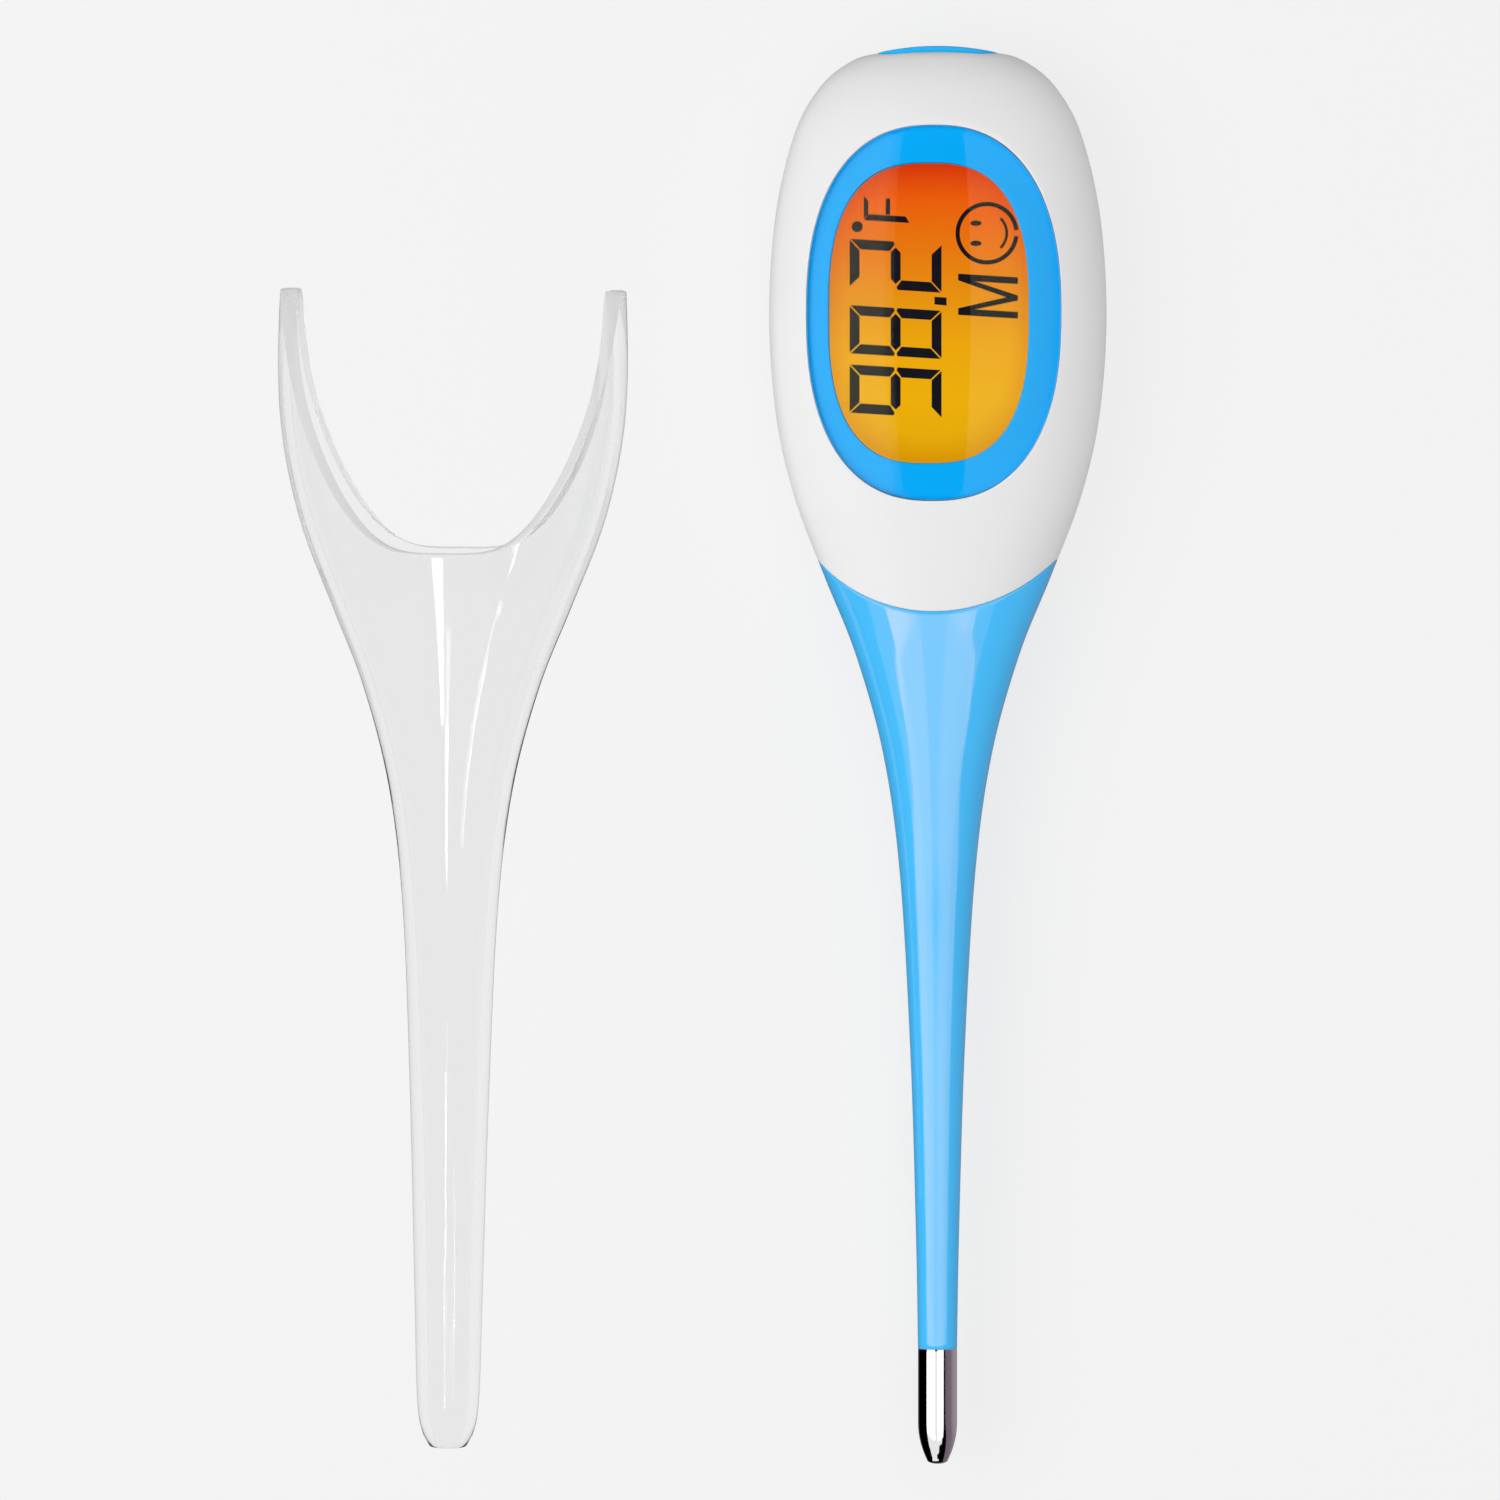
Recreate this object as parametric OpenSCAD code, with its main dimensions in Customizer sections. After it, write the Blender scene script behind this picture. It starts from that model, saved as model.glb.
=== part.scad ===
// Digital thermometer, face up: +X to its right, +Y towards the power button, +Z out of the display.
// The origin is the centre of the flat on its back. Its clear cap lies beside it.

/* [Case] */
// Wall of the two head shells
wall = 1.5; // [1.4:0.1:1.6]
// Height of the long axis above the flat on the back
axis_z = 7.6; // [7.5:0.1:7.7]
// Radius of the arc where the white head meets the blue stem
joint_r = 16.3; // [16.1:0.1:16.9]

/* [Window] */
// Half width of the window
window_w = 12.7; // [12.5:0.1:12.8]
// Half length of the window
window_l = 18.65; // [18.4:0.05:18.7]
// Half width of the display opening
display_w = 9.9; // [9.6:0.1:10]
// Half length of the display opening
display_l = 14.9; // [14.5:0.1:15]
// Thickness of the clear window
window_t = 1.1; // [0.9:0.1:1.2]

/* [Probe] */
// Radius of the metal tip
tip_r = 1.95; // [1.9:0.05:2]
// Straight length of the metal tip
tip_straight = 7.4; // [7.2:0.1:7.8]
// Length of the tip's bullet nose
tip_nose = 4.1; // [3.9:0.1:4.3]

/* [Battery] */
// Radius of the coin cell
cell_r = 10; // [9.8:0.05:10]
// Thickness of the coin cell
cell_t = 3.2; // [2.5:0.1:3.2]
// Radius of the battery cover
cover_r = 11.3; // [11.2:0.05:11.35]
// Angle that unlocks the battery cover
cover_turn = 40; // [36:1:44]

/* [Button] */
// Half width of the power button
button_w = 6.15; // [6:0.05:6.2]
// Half height of the power button
button_h = 2.75; // [2.5:0.05:2.8]
// Travel of the power button
button_travel = 0.5; // [0.3:0.1:0.6]

/* [Cap] */
// Distance from the thermometer's axis to the cap that lies beside it
cap_gap = 48.7; // [44:0.1:60]
// Angle that the cap is turned on the table
cap_turn = 0.65; // [0:0.05:2]

/* [Hidden] */

white = "whitesmoke";
blue = "dodgerblue";
fine = 96;
gap = 0.05;

// Outer skin, one row per station: y, half width, height above the axis, depth below the axis.
// The first row is the button end of the head, the last is where the metal tip starts.
SKIN = [
  [26.15, 0, 0, 0],
  [26.10, 6.2, 3.0, 3.0],
  [24.90, 9.4, 4.6, 4.6],
  [22.40, 12.05, 5.9, 6.1],
  [18.00, 14.35, 6.8, 7.3],
  [10.00, 16.2, 7.4, 8.4],
  [0, 16.85, 7.6, 8.8],
  [-10, 16.15, 7.5, 8.5],
  [-18, 14.35, 7.0, 7.6],
  [-26, 11.35, 6.1, 6.2],
  [-34, 8.15, 5.0, 5.0],
  [-44, 5.4, 4.1, 4.1],
  [-56, 3.75, 3.3, 3.3],
  [-74, 2.7, 2.65, 2.65],
  [-92, 2.15, 2.15, 2.15],
  [-103.2, 1.95, 1.95, 1.95],
];
stem_end = SKIN[len(SKIN) - 1][0];
joint_y = -29.65;
// Stations of the skin where the shells and the stem start and end, each a little past the joint's arc
first_station = 0.1;
shell_station = 10;
stem_station = 8.7;
// The stem's spigot, which is glued inside the head
spigot_y = -23.5;
spigot_wall = 1.25;

// Outer skin of the cap, in its place on the probe: y, half width, half height, wall.
CAP = [
  [4, 17.2, 9.2, 2.1],
  [-8, 17.55, 9.4, 1.25],
  [-16, 16.95, 9.2, 1.2],
  [-24, 15.1, 8.5, 1.25],
  [-32, 12.0, 7.4, 1.3],
  [-40, 8.85, 6.3, 1.15],
  [-50, 6.25, 5.3, 1.1],
  [-62, 4.8, 4.5, 1.1],
  [-80, 4.0, 3.95, 1.2],
  [-100, 3.45, 3.45, 1.25],
  [-112, 3.1, 3.1, 1.1],
  [-115.6, 2.4, 2.4, 1.0],
  [-116.6, 1.75, 1.75, 0.6],
];
scoop_y = -26.3;
wing_y = -0.2;

// Levels, from the battery cover up to the window
cover_z = [0.15, 1.55];
lip_z = 0.85;
ledge_z = 1.65;
ledge_top = 2.9;
cell_z = 1.75;
well_top = 5.6;
board_z = [6.0, 6.8];
guide_z = [7.2, 9.0];
film_z = [9.02, 9.17];
lcd_z = [9.2, 10.8];
flange_z = [11.1, 11.6];

board_holes = [[-7.8, 19.4], [7.8, 19.4], [0, -20.6]];
lcd_size = [20.8, 30.8];
frame_wall = 0.8;
button_y = 24.4;
switch_y = 21.2;
plunger_reach = 1;
tip_wall = 0.25;
blunt = 0.4;
filler_z = [3.1, 9.1];
bore_r = 1.2;
// Marks beside the battery cover: a dot where it locks, a ring where it unlocks
mark_r = 13.4;
mark_depth = 0.3;
piezo_r = 4.4;
piezo_y = -17.8;
piezo_z = 2.6;
thermistor_y = -112.1;

function clamp(v, lo, hi) = min(max(v, lo), hi);
function power(v, e) = sign(v) * pow(abs(v), e);
function mix(a, b, u) = a + (b - a) * u;

// The row of a table at station t, on a smooth curve through every row.
function row(table, i) = let (last = len(table) - 1)
  i > last ? 2 * table[last] - table[last - 1] :
  i < 0 ? 2 * table[0] - table[1] : table[i];
function station(table, t) = let (
  i = min(floor(t), len(table) - 2), u = t - i,
  a = row(table, i - 1), b = row(table, i), c = row(table, i + 1), d = row(table, i + 2))
  0.5 * (2 * b + (c - a) * u + (2 * a - 5 * b + 4 * c - d) * u * u
    + (3 * b - 3 * c + d - a) * u * u * u);
// The station whose y is the given one, by halving.
function station_at(table, y, lo, hi, steps = 24) =
  steps == 0 ? station(table, (lo + hi) / 2) :
  station(table, (lo + hi) / 2)[0] > y ? station_at(table, y, (lo + hi) / 2, hi, steps - 1)
    : station_at(table, y, lo, (lo + hi) / 2, steps - 1);

// Head sections are fuller than an ellipse, above all underneath; the stem's are ellipses.
function upper_fullness(w) = 2 + 0.3 * clamp((w - 4) / 12, 0, 1);
function lower_fullness(w) = 2 + 0.9 * clamp((w - 4) / 12, 0, 1);

// One point of the skin's cross-section at station t, angle a, moved inwards by inset.
function skin_point(t, a, inset) = let (
  r = station(SKIN, t),
  y = r[0] - inset * clamp((r[0] - 8) / 16, 0, 1),
  w = max(r[1] - inset, 0.01),
  h = max((sin(a) > 0 ? r[2] : r[3]) - inset, 0.01),
  n = sin(a) > 0 ? upper_fullness(w) : lower_fullness(w),
  z = axis_z + h * power(sin(a), 2 / n))
  [w * power(cos(a), 2 / n), y, max(z, inset)];
// Height of the head's top skin over a point of its plan.
function dome(x, y) = let (r = station_at(SKIN, y, 0, 12), n = upper_fullness(r[1]))
  axis_z + r[2] * pow(1 - pow(abs(x) / r[1], n), 1 / n);

// A point of an oval: 2 is an ellipse, more is squarer.
function oval_point(w, l, n, a) = [w * power(cos(a), 2 / n), l * power(sin(a), 2 / n)];
module oval(w, l, n = 2.4, sides = 72)
  polygon([for (i = [0:sides - 1]) oval_point(w, l, n, i * 360 / sides)]);
module tablet(w, h) {
  square([2 * (w - h), 2 * h], center = true);
  for (x = [h - w, w - h]) translate([x, 0]) circle(r = h, $fn = fine);
}
// A block that is centred in x and y
module slab(x, y, z) translate([-x / 2, -y / 2, z[0]]) cube([x, y, z[1] - z[0]]);
module ring(r, hole, z) difference() {
  translate([0, 0, z[0]]) cylinder(r = r, h = z[1] - z[0], $fn = fine);
  translate([0, 0, z[0] - 1]) cylinder(r = hole, h = z[1] - z[0] + 2, $fn = fine);
}
// Lays a shape that stands on z = 0 along -Y, with its foot at y, on the thermometer's axis
module along_probe(y) translate([0, y, axis_z]) rotate([90, 0, 0]) children();
module rod(from, to, r) {
  d = to - from;
  run = norm([d[0], d[1]]);
  translate(from) rotate([0, atan2(run, d[2]), atan2(d[1], d[0])]) cylinder(r = r, h = norm(d), $fn = 24);
}

// A closed solid through rings of points that all have the same number of points
module sweep(rings) {
  n = len(rings[0]);
  m = len(rings);
  polyhedron([for (r = rings) each r], concat(
    [[for (i = [0:n - 1]) i]],
    [for (k = [0:m - 2], i = [0:n - 1]) [k * n + i, (k + 1) * n + i, (k + 1) * n + (i + 1) % n]],
    [for (k = [0:m - 2], i = [0:n - 1]) [k * n + i, (k + 1) * n + (i + 1) % n, k * n + (i + 1) % n]],
    [[for (i = [n - 1:-1:0]) (m - 1) * n + i]]));
}
// The same, where the last ring joins the first, as on a tube that is open at both ends
module loop_sweep(rings) {
  n = len(rings[0]);
  m = len(rings);
  polyhedron([for (r = rings) each r], concat(
    [for (k = [0:m - 1], i = [0:n - 1]) [k * n + i, (k + 1) % m * n + i, (k + 1) % m * n + (i + 1) % n]],
    [for (k = [0:m - 1], i = [0:n - 1]) [k * n + i, (k + 1) % m * n + (i + 1) % n, k * n + (i + 1) % n]]));
}
module skin_solid(t0, t1, rings, inset = 0, sides = 36)
  sweep([for (k = [0:rings]) [for (i = [0:sides - 1])
    skin_point(mix(t0, t1, k / rings), i * 360 / sides, inset)]]);
// The head's side of the arc where the head meets the stem
module head_side(r = joint_r) {
  translate([0, joint_y + joint_r, -1]) cylinder(r = r, h = 40, $fn = fine);
  translate([-40, joint_y + joint_r, -1]) cube([80, 60, 41]);
}
module button_tunnel() along_probe(30) {
  linear_extrude(10) tablet(button_w + 0.15, button_h + 0.15);
  translate([0, 0, 30 - button_y - 0.3]) linear_extrude(3) tablet(button_w + 1.15, button_h + 1.15);
}

module half_shell(z) difference() {
  intersection() {
    skin_solid(first_station, shell_station, 22);
    slab(80, 140, z);
    head_side();
  }
  difference() {
    skin_solid(first_station + 0.2, shell_station + 0.5, 22, wall);
    children();
  }
  button_tunnel();
}

module front_shell() color(white) difference() {
  half_shell([axis_z, 40]) {
    translate([0, 0, flange_z[0]]) linear_extrude(8) oval(window_w + 1, window_l + 1);
    for (p = board_holes) translate(concat(p, board_z[1] + gap)) cylinder(r = 1.4, h = 9, $fn = 48);
  }
  translate([0, 0, flange_z[1]]) linear_extrude(8) oval(window_w + 0.1, window_l + 0.1);
  translate([0, 0, flange_z[0] - 1]) linear_extrude(4) oval(display_w + 0.4, display_l + 0.4, 2.7);
  for (p = board_holes) translate(p) cylinder(r = 0.72, h = 10.3, $fn = 32);
}

module rear_shell() color(white) difference() {
  half_shell([-1, axis_z]) {
    ring(13.2, 0.1, [-1, ledge_top]);
    ring(cell_r + 1.25, cell_r, [0, well_top]);
    translate([0, piezo_y, 0]) ring(piezo_r, piezo_r - 0.7, [0, piezo_z - 0.02]);
  }
  translate([0, 0, -1]) cylinder(r = cover_r + 0.1, h = 1 + ledge_z, $fn = fine);
  translate([0, 0, lip_z]) cylinder(r = cover_r + 0.9, h = ledge_z - lip_z, $fn = fine);
  translate([0, 0, -1]) cylinder(r = cell_r + 0.35, h = 9, $fn = fine);
  ring(11.2, 10.6, [0, ledge_z + 0.5]);
  // Entries for the cover's three lugs
  for (i = [0:2]) rotate(90 - cover_turn + i * 120) translate([10, -2.1, -1]) cube([2.2, 4.2, 2]);
  translate([cell_r - 0.2, -1.9, ledge_z + 0.6]) cube([1.6, 3.8, 9]);
  rotate(-90) translate([mark_r, 0, -1]) cylinder(r = 0.5, h = 1 + mark_depth, $fn = 32);
  rotate(-90 - cover_turn) translate([mark_r, 0, 0]) ring(0.6, 0.3, [-1, mark_depth]);
}

module probe_stem() color(blue) difference() {
  union() {
    difference() {
      skin_solid(stem_station, len(SKIN) - 1, 30);
      head_side();
    }
    intersection() {
      skin_solid(stem_station - 0.1, stem_station + 1.5, 6, wall + gap);
      translate([-15, -32, 0]) cube([30, 32 + spigot_y, 20]);
    }
    along_probe(stem_end + 1) cylinder(r = tip_r - tip_wall - gap, h = 4, $fn = fine);
  }
  skin_solid(stem_station - 0.3, stem_station + 2.9, 12, wall + spigot_wall);
  along_probe(-48) cylinder(r = bore_r, h = 70, $fn = 48);
}

// Half of the tip's section: a straight side, an ogive and a small blunt end
module tip_profile(r, nose) {
  ogive_r = 7.6;
  ogive = nose - blunt;
  end_r = r - ogive * ogive / (2 * ogive_r);
  polygon(concat(
    [[0, 0], [r, 0]],
    [for (i = [0:6]) let (s = ogive * i / 6) [r - s * s / (2 * ogive_r), tip_straight + s]],
    [for (i = [1:5]) let (a = i * 18) [end_r * cos(a), tip_straight + ogive + blunt * sin(a)]]));
}
module metal_tip() color("silver") along_probe(stem_end) difference() {
  rotate_extrude($fn = fine) tip_profile(tip_r, tip_nose);
  translate([0, 0, -1]) cylinder(r = tip_r - tip_wall, h = 1 + tip_straight, $fn = fine);
  translate([0, 0, tip_straight - 0.01]) rotate_extrude($fn = fine)
    intersection() {
      translate([0, -tip_straight]) tip_profile(tip_r - tip_wall, tip_nose - tip_wall);
      square(5);
    }
}
module tip_filler() color("gainsboro") along_probe(stem_end) difference() {
  rotate_extrude($fn = fine) intersection() {
    tip_profile(tip_r - tip_wall - gap, tip_nose - tip_wall - gap);
    translate([0, filler_z[0]]) square([5, filler_z[1] - filler_z[0]]);
  }
  for (x = [-0.45, 0.45]) translate([x, 0, 0]) cylinder(r = 0.22, h = 8.5, $fn = 24);
  translate([0, 0, stem_end - thermistor_y - 0.9]) cylinder(r = 0.8, h = 2, $fn = 32);
}
module thermistor() color("black") along_probe(thermistor_y + 0.7) cylinder(r = 0.7, h = 0.7, $fn = 32);
module thermistor_leads() color("firebrick") for (s = [-1, 1]) {
  bend = [s * 0.45, -25, axis_z];
  pad = [s * 3, -21.8, board_z[1] + 0.22];
  rod([s * 0.45, thermistor_y + 0.75, axis_z], bend, 0.2);
  translate(bend) sphere(r = 0.24, $fn = 24);
  rod(bend, pad, 0.2);
}

module display_window() {
  rings = 7;
  w = window_w - 0.1;
  l = window_l - 0.1;
  function grid(k, drop) = [for (i = [0:35]) let (p = oval_point(w, l, 2.4, i * 10) * k / rings)
    [p[0], p[1], dome(p[0], p[1]) - drop]];
  color("lightcyan", 0.4) sweep(concat(
    [for (k = [0.02, 1, 2, 3, 4, 5, 6, 7]) grid(k, window_t)],
    [for (k = [7, 6, 5, 4, 3, 2, 1, 0.02]) grid(k, 0)]));
}
module window_border() {
  low = flange_z[1];
  function top(p) = dome(p[0], p[1]) - window_t - 0.12;
  color(blue) loop_sweep([for (i = [0:59]) let (
    a = i * 6,
    p = oval_point(display_w, display_l, 2.7, a),
    q = oval_point(window_w - 0.1, window_l - 0.1, 2.4, a),
    m = (p + q) / 2)
    [concat(p, top(p)), concat(m, top(m)), concat(q, top(q)), concat(q, low), concat(p, low)]]);
}
module window_gasket() color("dimgray") difference() {
  slab(lcd_size[0], lcd_size[1], [lcd_z[1], flange_z[0]]);
  translate([0, 0, 5]) linear_extrude(9) oval(display_w + 0.15, display_l + 0.15, 2.7);
}
module lcd_panel() color("darkseagreen") {
  middle = (lcd_z[0] + lcd_z[1]) / 2;
  slab(lcd_size[0], lcd_size[1], [lcd_z[0], middle]);
  translate([0, 0.9, 0]) slab(lcd_size[0], lcd_size[1] - 1.8, [middle, lcd_z[1]]);
}
module lcd_frame() color("white") difference() {
  linear_extrude(lcd_z[1] - gap) offset(r = frame_wall, $fn = 24) square(lcd_size, center = true);
  slab(50, 50, [-1, board_z[1] + gap]);
  slab(lcd_size[0] + 0.1, lcd_size[1] + 0.1, [film_z[0] - 0.02, 20]);
  slab(lcd_size[0] - 0.6, lcd_size[1] - 0.6, [0, 20]);
}
module backlight_diffuser() color("ivory") slab(lcd_size[0] - 0.1, 27.6, film_z);
module backlight_guide() color("azure") slab(lcd_size[0] - 0.8, 27.6, guide_z);
module backlight_leds() color("lemonchiffon") for (x = [-6, 0, 6])
  translate([x, 14.4, 0]) slab(3, 1, [board_z[1], 8.4]);
module zebra_strip() color("orchid") translate([0, -14.5, 0]) slab(18, 1.2, [board_z[1], film_z[0]]);

module circuit_board() color("darkgreen") difference() {
  translate([0, -0.5, board_z[0]]) linear_extrude(board_z[1] - board_z[0]) oval(13.4, 22.5, 3.2);
  for (p = board_holes) translate(p) cylinder(r = 0.85, h = 20, $fn = 32);
}
module board_screws() color("silver") for (p = board_holes) translate(concat(p, board_z[0])) difference() {
  union() {
    translate([0, 0, -0.7]) cylinder(r = 1.25, h = 0.7, $fn = 32);
    translate([0, 0, -0.1]) cylinder(r = 0.7, h = 4.1, $fn = 32);
  }
  for (a = [0, 90]) rotate(a) slab(1.5, 0.3, [-1, -0.35]);
}
module controller_chip() color("black") translate([-4.6, -16.6, 0]) slab(6, 6, [4.8, board_z[0]]);
module board_components() color("tan")
  for (p = [[1.6, -14.4], [4.4, -14.4], [7.2, -14.4], [4.4, -17.2], [7.2, -17.2]])
    translate(p) slab(1.6, 0.8, [5.4, board_z[0]]);
module piezo_disc() color("goldenrod") translate([0, piezo_y, piezo_z])
  cylinder(r = piezo_r, h = 0.2, $fn = fine);
module piezo_ceramic() color("white") translate([0, piezo_y, piezo_z + 0.2])
  cylinder(r = piezo_r - 1.2, h = 0.2, $fn = fine);

module tact_switch() color("silver") difference() {
  translate([0, switch_y - 1.5, 0]) slab(4.4, 3, [board_z[1], 8.5]);
  translate([0, switch_y - 0.35 - button_travel / 2, 0])
    slab(2, 0.9 + button_travel, [axis_z - 0.5, axis_z + 0.5]);
}
module switch_plunger() color("black") translate([0, switch_y + plunger_reach - 0.75, 0])
  slab(1.8, 1.5, [axis_z - 0.4, axis_z + 0.4]);
module power_button() color(blue) {
  crown = 0.72;
  crown_r = (button_w * button_w + crown * crown) / (2 * crown);
  along_probe(0) intersection() {
    translate([0, 0, -30]) linear_extrude(30 - button_y + 0.1) tablet(button_w, button_h);
    translate([0, 0, crown_r - 26.85]) sphere(r = crown_r, $fn = fine);
  }
  along_probe(button_y) linear_extrude(0.8) tablet(button_w + 0.85, button_h + 0.75);
  post_end = switch_y + plunger_reach + gap;
  translate([0, (button_y + post_end) / 2, 0])
    slab(2.4, button_y - post_end, [board_z[1] + 0.15, axis_z + 0.65]);
}
module button_seal() color("dimgray") along_probe(button_y + 0.28) linear_extrude(0.24) difference() {
  tablet(button_w + 1.05, button_h + 1.05);
  tablet(button_w + 0.2, button_h + 0.2);
}

module battery_cell() color("silver") translate([0, 0, cell_z]) rotate_extrude($fn = fine)
  polygon([[0, 0], [cell_r - 0.25, 0], [cell_r, 0.25], [cell_r, cell_t - 0.35],
    [cell_r - 0.3, cell_t - 0.25], [8.9, cell_t - 0.25], [8.7, cell_t], [0, cell_t]]);
module positive_contact() color("khaki") translate([cell_r + 0.05, -1.5, 0]) {
  translate([0, 0, 2.6]) cube([0.2, 3, board_z[0] - 2.6]);
  translate([0, 0, board_z[0] - 0.2]) cube([2.4, 3, 0.2]);
}
module negative_contact() {
  foot = board_z[0];
  touch = cell_z + cell_t + 0.03;
  color("khaki") translate([-2, 0, 0]) rotate([90, 0, 90]) linear_extrude(4)
    polygon([[7, foot], [4, foot], [-0.5, touch + 0.2], [-2, touch + 0.4], [-2, touch + 0.2],
      [-0.5, touch], [4, foot - 0.2], [7, foot - 0.2]]);
}
module battery_cover() color(white) difference() {
  union() {
    rotate_extrude($fn = fine) polygon([[0, cover_z[0]], [cover_r - 0.25, cover_z[0]],
      [cover_r, cover_z[0] + 0.25], [cover_r, cover_z[1]], [0, cover_z[1]]]);
    for (i = [0:2]) rotate(90 + i * 120) intersection() {
      ring(cover_r + 0.75, cover_r - 0.5, [lip_z + 0.1, cover_z[1] - 0.02]);
      translate([10, -1.6, 0]) cube([4, 3.2, 3]);
    }
  }
  hull() for (x = [-6, 6]) translate([x, 0, -1]) cylinder(r = 0.8, h = 1.95, $fn = 24);
  rotate(-90) translate([9.6, 0, -1]) cylinder(r = 0.5, h = 1.4, $fn = 32);
}
module cover_seal() color("black") translate([0, 0, 1.87])
  rotate_extrude($fn = fine) translate([10.9, 0]) circle(r = 0.26, $fn = 32);

// The cap's mouth is scooped out above and below, so that two wings are left at its sides.
function scoop(q) = min(wing_y, scoop_y + 27.5 * pow(q, 4.3));
function cap_point(y, a, inside) = let (
  r = station_at(CAP, y, 0, len(CAP) - 1),
  w = r[1] - inside * r[3],
  h = r[2] - inside * r[3],
  n = upper_fullness(w))
  [w * power(cos(a), 2 / n), y, axis_z + h * power(sin(a), 2 / n)];
function cap_ring(k, inside) = let (mouth_rings = 9, throat = -33) [for (i = [0:35]) let (
  a = i * 10,
  edge = scoop(pow(abs(cos(a)), 2 / 2.3)),
  y = k < mouth_rings ? mix(edge, throat, k / mouth_rings)
    : mix(throat, CAP[len(CAP) - 1][0], pow((k - mouth_rings) / 14, 0.8)))
  cap_point(y, a, inside)];
module cap_on_probe() loop_sweep(concat(
  [for (k = [0:23]) cap_ring(k, 0)],
  [for (k = [23:-1:0]) cap_ring(k, 1)]));
// It lies on the belly below its scoop and on the end of its tube.
belly = axis_z - station_at(CAP, scoop_y, 0, 12)[2];
tube_y = -112;
cap_tilt = atan((axis_z - station_at(CAP, tube_y, 0, 12)[2] - belly) / (scoop_y - tube_y));
module protective_cap() color("lightcyan", 0.4)
  translate([-cap_gap, scoop_y + 3, 0]) rotate(-cap_turn) rotate([cap_tilt, 0, 0])
    translate([0, -scoop_y, -belly]) cap_on_probe();

front_shell();
rear_shell();
probe_stem();
metal_tip();
display_window();
window_border();
window_gasket();
lcd_panel();
lcd_frame();
backlight_diffuser();
backlight_guide();
backlight_leds();
zebra_strip();
circuit_board();
board_screws();
controller_chip();
board_components();
piezo_disc();
piezo_ceramic();
tact_switch();
switch_plunger();
power_button();
button_seal();
battery_cell();
positive_contact();
negative_contact();
battery_cover();
cover_seal();
thermistor();
thermistor_leads();
tip_filler();
protective_cap();
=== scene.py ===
import math

import bpy
import numpy as np
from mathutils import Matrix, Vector


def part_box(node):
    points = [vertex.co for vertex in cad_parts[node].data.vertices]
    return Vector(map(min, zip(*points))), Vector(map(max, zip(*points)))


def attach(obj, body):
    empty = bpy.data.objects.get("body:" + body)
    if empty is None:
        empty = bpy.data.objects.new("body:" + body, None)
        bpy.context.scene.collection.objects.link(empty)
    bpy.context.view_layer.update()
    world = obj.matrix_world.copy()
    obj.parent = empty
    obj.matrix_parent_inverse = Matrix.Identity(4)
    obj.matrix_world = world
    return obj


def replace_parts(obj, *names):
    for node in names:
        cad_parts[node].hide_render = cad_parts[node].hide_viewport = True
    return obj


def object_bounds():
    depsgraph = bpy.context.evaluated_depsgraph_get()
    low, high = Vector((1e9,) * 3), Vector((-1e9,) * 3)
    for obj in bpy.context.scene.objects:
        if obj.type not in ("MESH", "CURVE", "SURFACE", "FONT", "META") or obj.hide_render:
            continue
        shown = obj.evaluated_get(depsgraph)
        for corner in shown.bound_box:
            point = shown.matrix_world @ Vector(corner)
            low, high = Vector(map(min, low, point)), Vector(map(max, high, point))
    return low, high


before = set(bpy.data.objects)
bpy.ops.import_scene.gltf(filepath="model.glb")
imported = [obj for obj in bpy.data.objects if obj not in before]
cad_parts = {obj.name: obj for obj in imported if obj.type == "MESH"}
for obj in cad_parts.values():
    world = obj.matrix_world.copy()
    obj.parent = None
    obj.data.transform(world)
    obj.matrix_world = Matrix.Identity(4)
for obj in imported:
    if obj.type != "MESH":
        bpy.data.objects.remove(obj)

# A digital thermometer lying face up beside its clear cap: +X to its right, +Y towards the power
# button, +Z out of the display. Shapes are worked out in millimetres and written in metres.
CAD_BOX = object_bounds()
MM = 0.001
PI = math.pi

# ---------------------------------------- design values, as in the part
AXIS_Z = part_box("front_shell")[0].z / MM
WALL = 1.5
# Ovals: half width, half length, fullness
WINDOW = (12.7, 18.65, 2.4)
DISPLAY = (9.9, 14.9, 2.7)
WINDOW_T, WINDOW_FIT, BORDER_DROP = 1.1, -0.06, 0.12
# The display opening is off the centre line, and the shell's flange below the window holds it
OPENING_X = -0.5
FLANGE_Z = (11.1, 11.6)
GASKET_SIZE = (10.9, 15.4, 24)
# The display is two plates of glass, the lower one left bare along one end, and printed on top
GLASS_T, BARE_END, SYMBOL_Z = 0.8, 1.8, (10.801, 10.86)
# The arc where the head ends and the stem begins
JOINT_R, JOINT_Y = 16.3, -29.65
TIP_R, TIP_WALL, TIP_STRAIGHT, TIP_NOSE, TIP_BLUNT, OGIVE_R = 1.95, 0.25, 7.4, 4.1, 0.4, 7.6
# The stem is hollow behind the head, and a bore runs on from there to the plug in the tip
BORE_R, BORE_Y, HOLLOW_Y, SPIGOT_Y, PLUG_LENGTH = 1.2, (-80, -48), -45.0, -23.5, 3
COVER_R, COVER_Z, COVER_TURN = 11.3, (0.15, 1.55), 40
BUTTON_W, BUTTON_H, BUTTON_Y, BUTTON_END = 6.15, 2.75, 24.4, 26.85
# Where the cap lies: how far left, its turn and its tilt in degrees, its lowest line, how far up
CAP_GAP, CAP_TURN, CAP_TILT, CAP_BELLY, CAP_Y = 48.7, 0.65, 3.414, -0.613, 3.4
SCOOP_Y, WING_Y, THROAT_Y = -26.3, -0.2, -33

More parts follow.
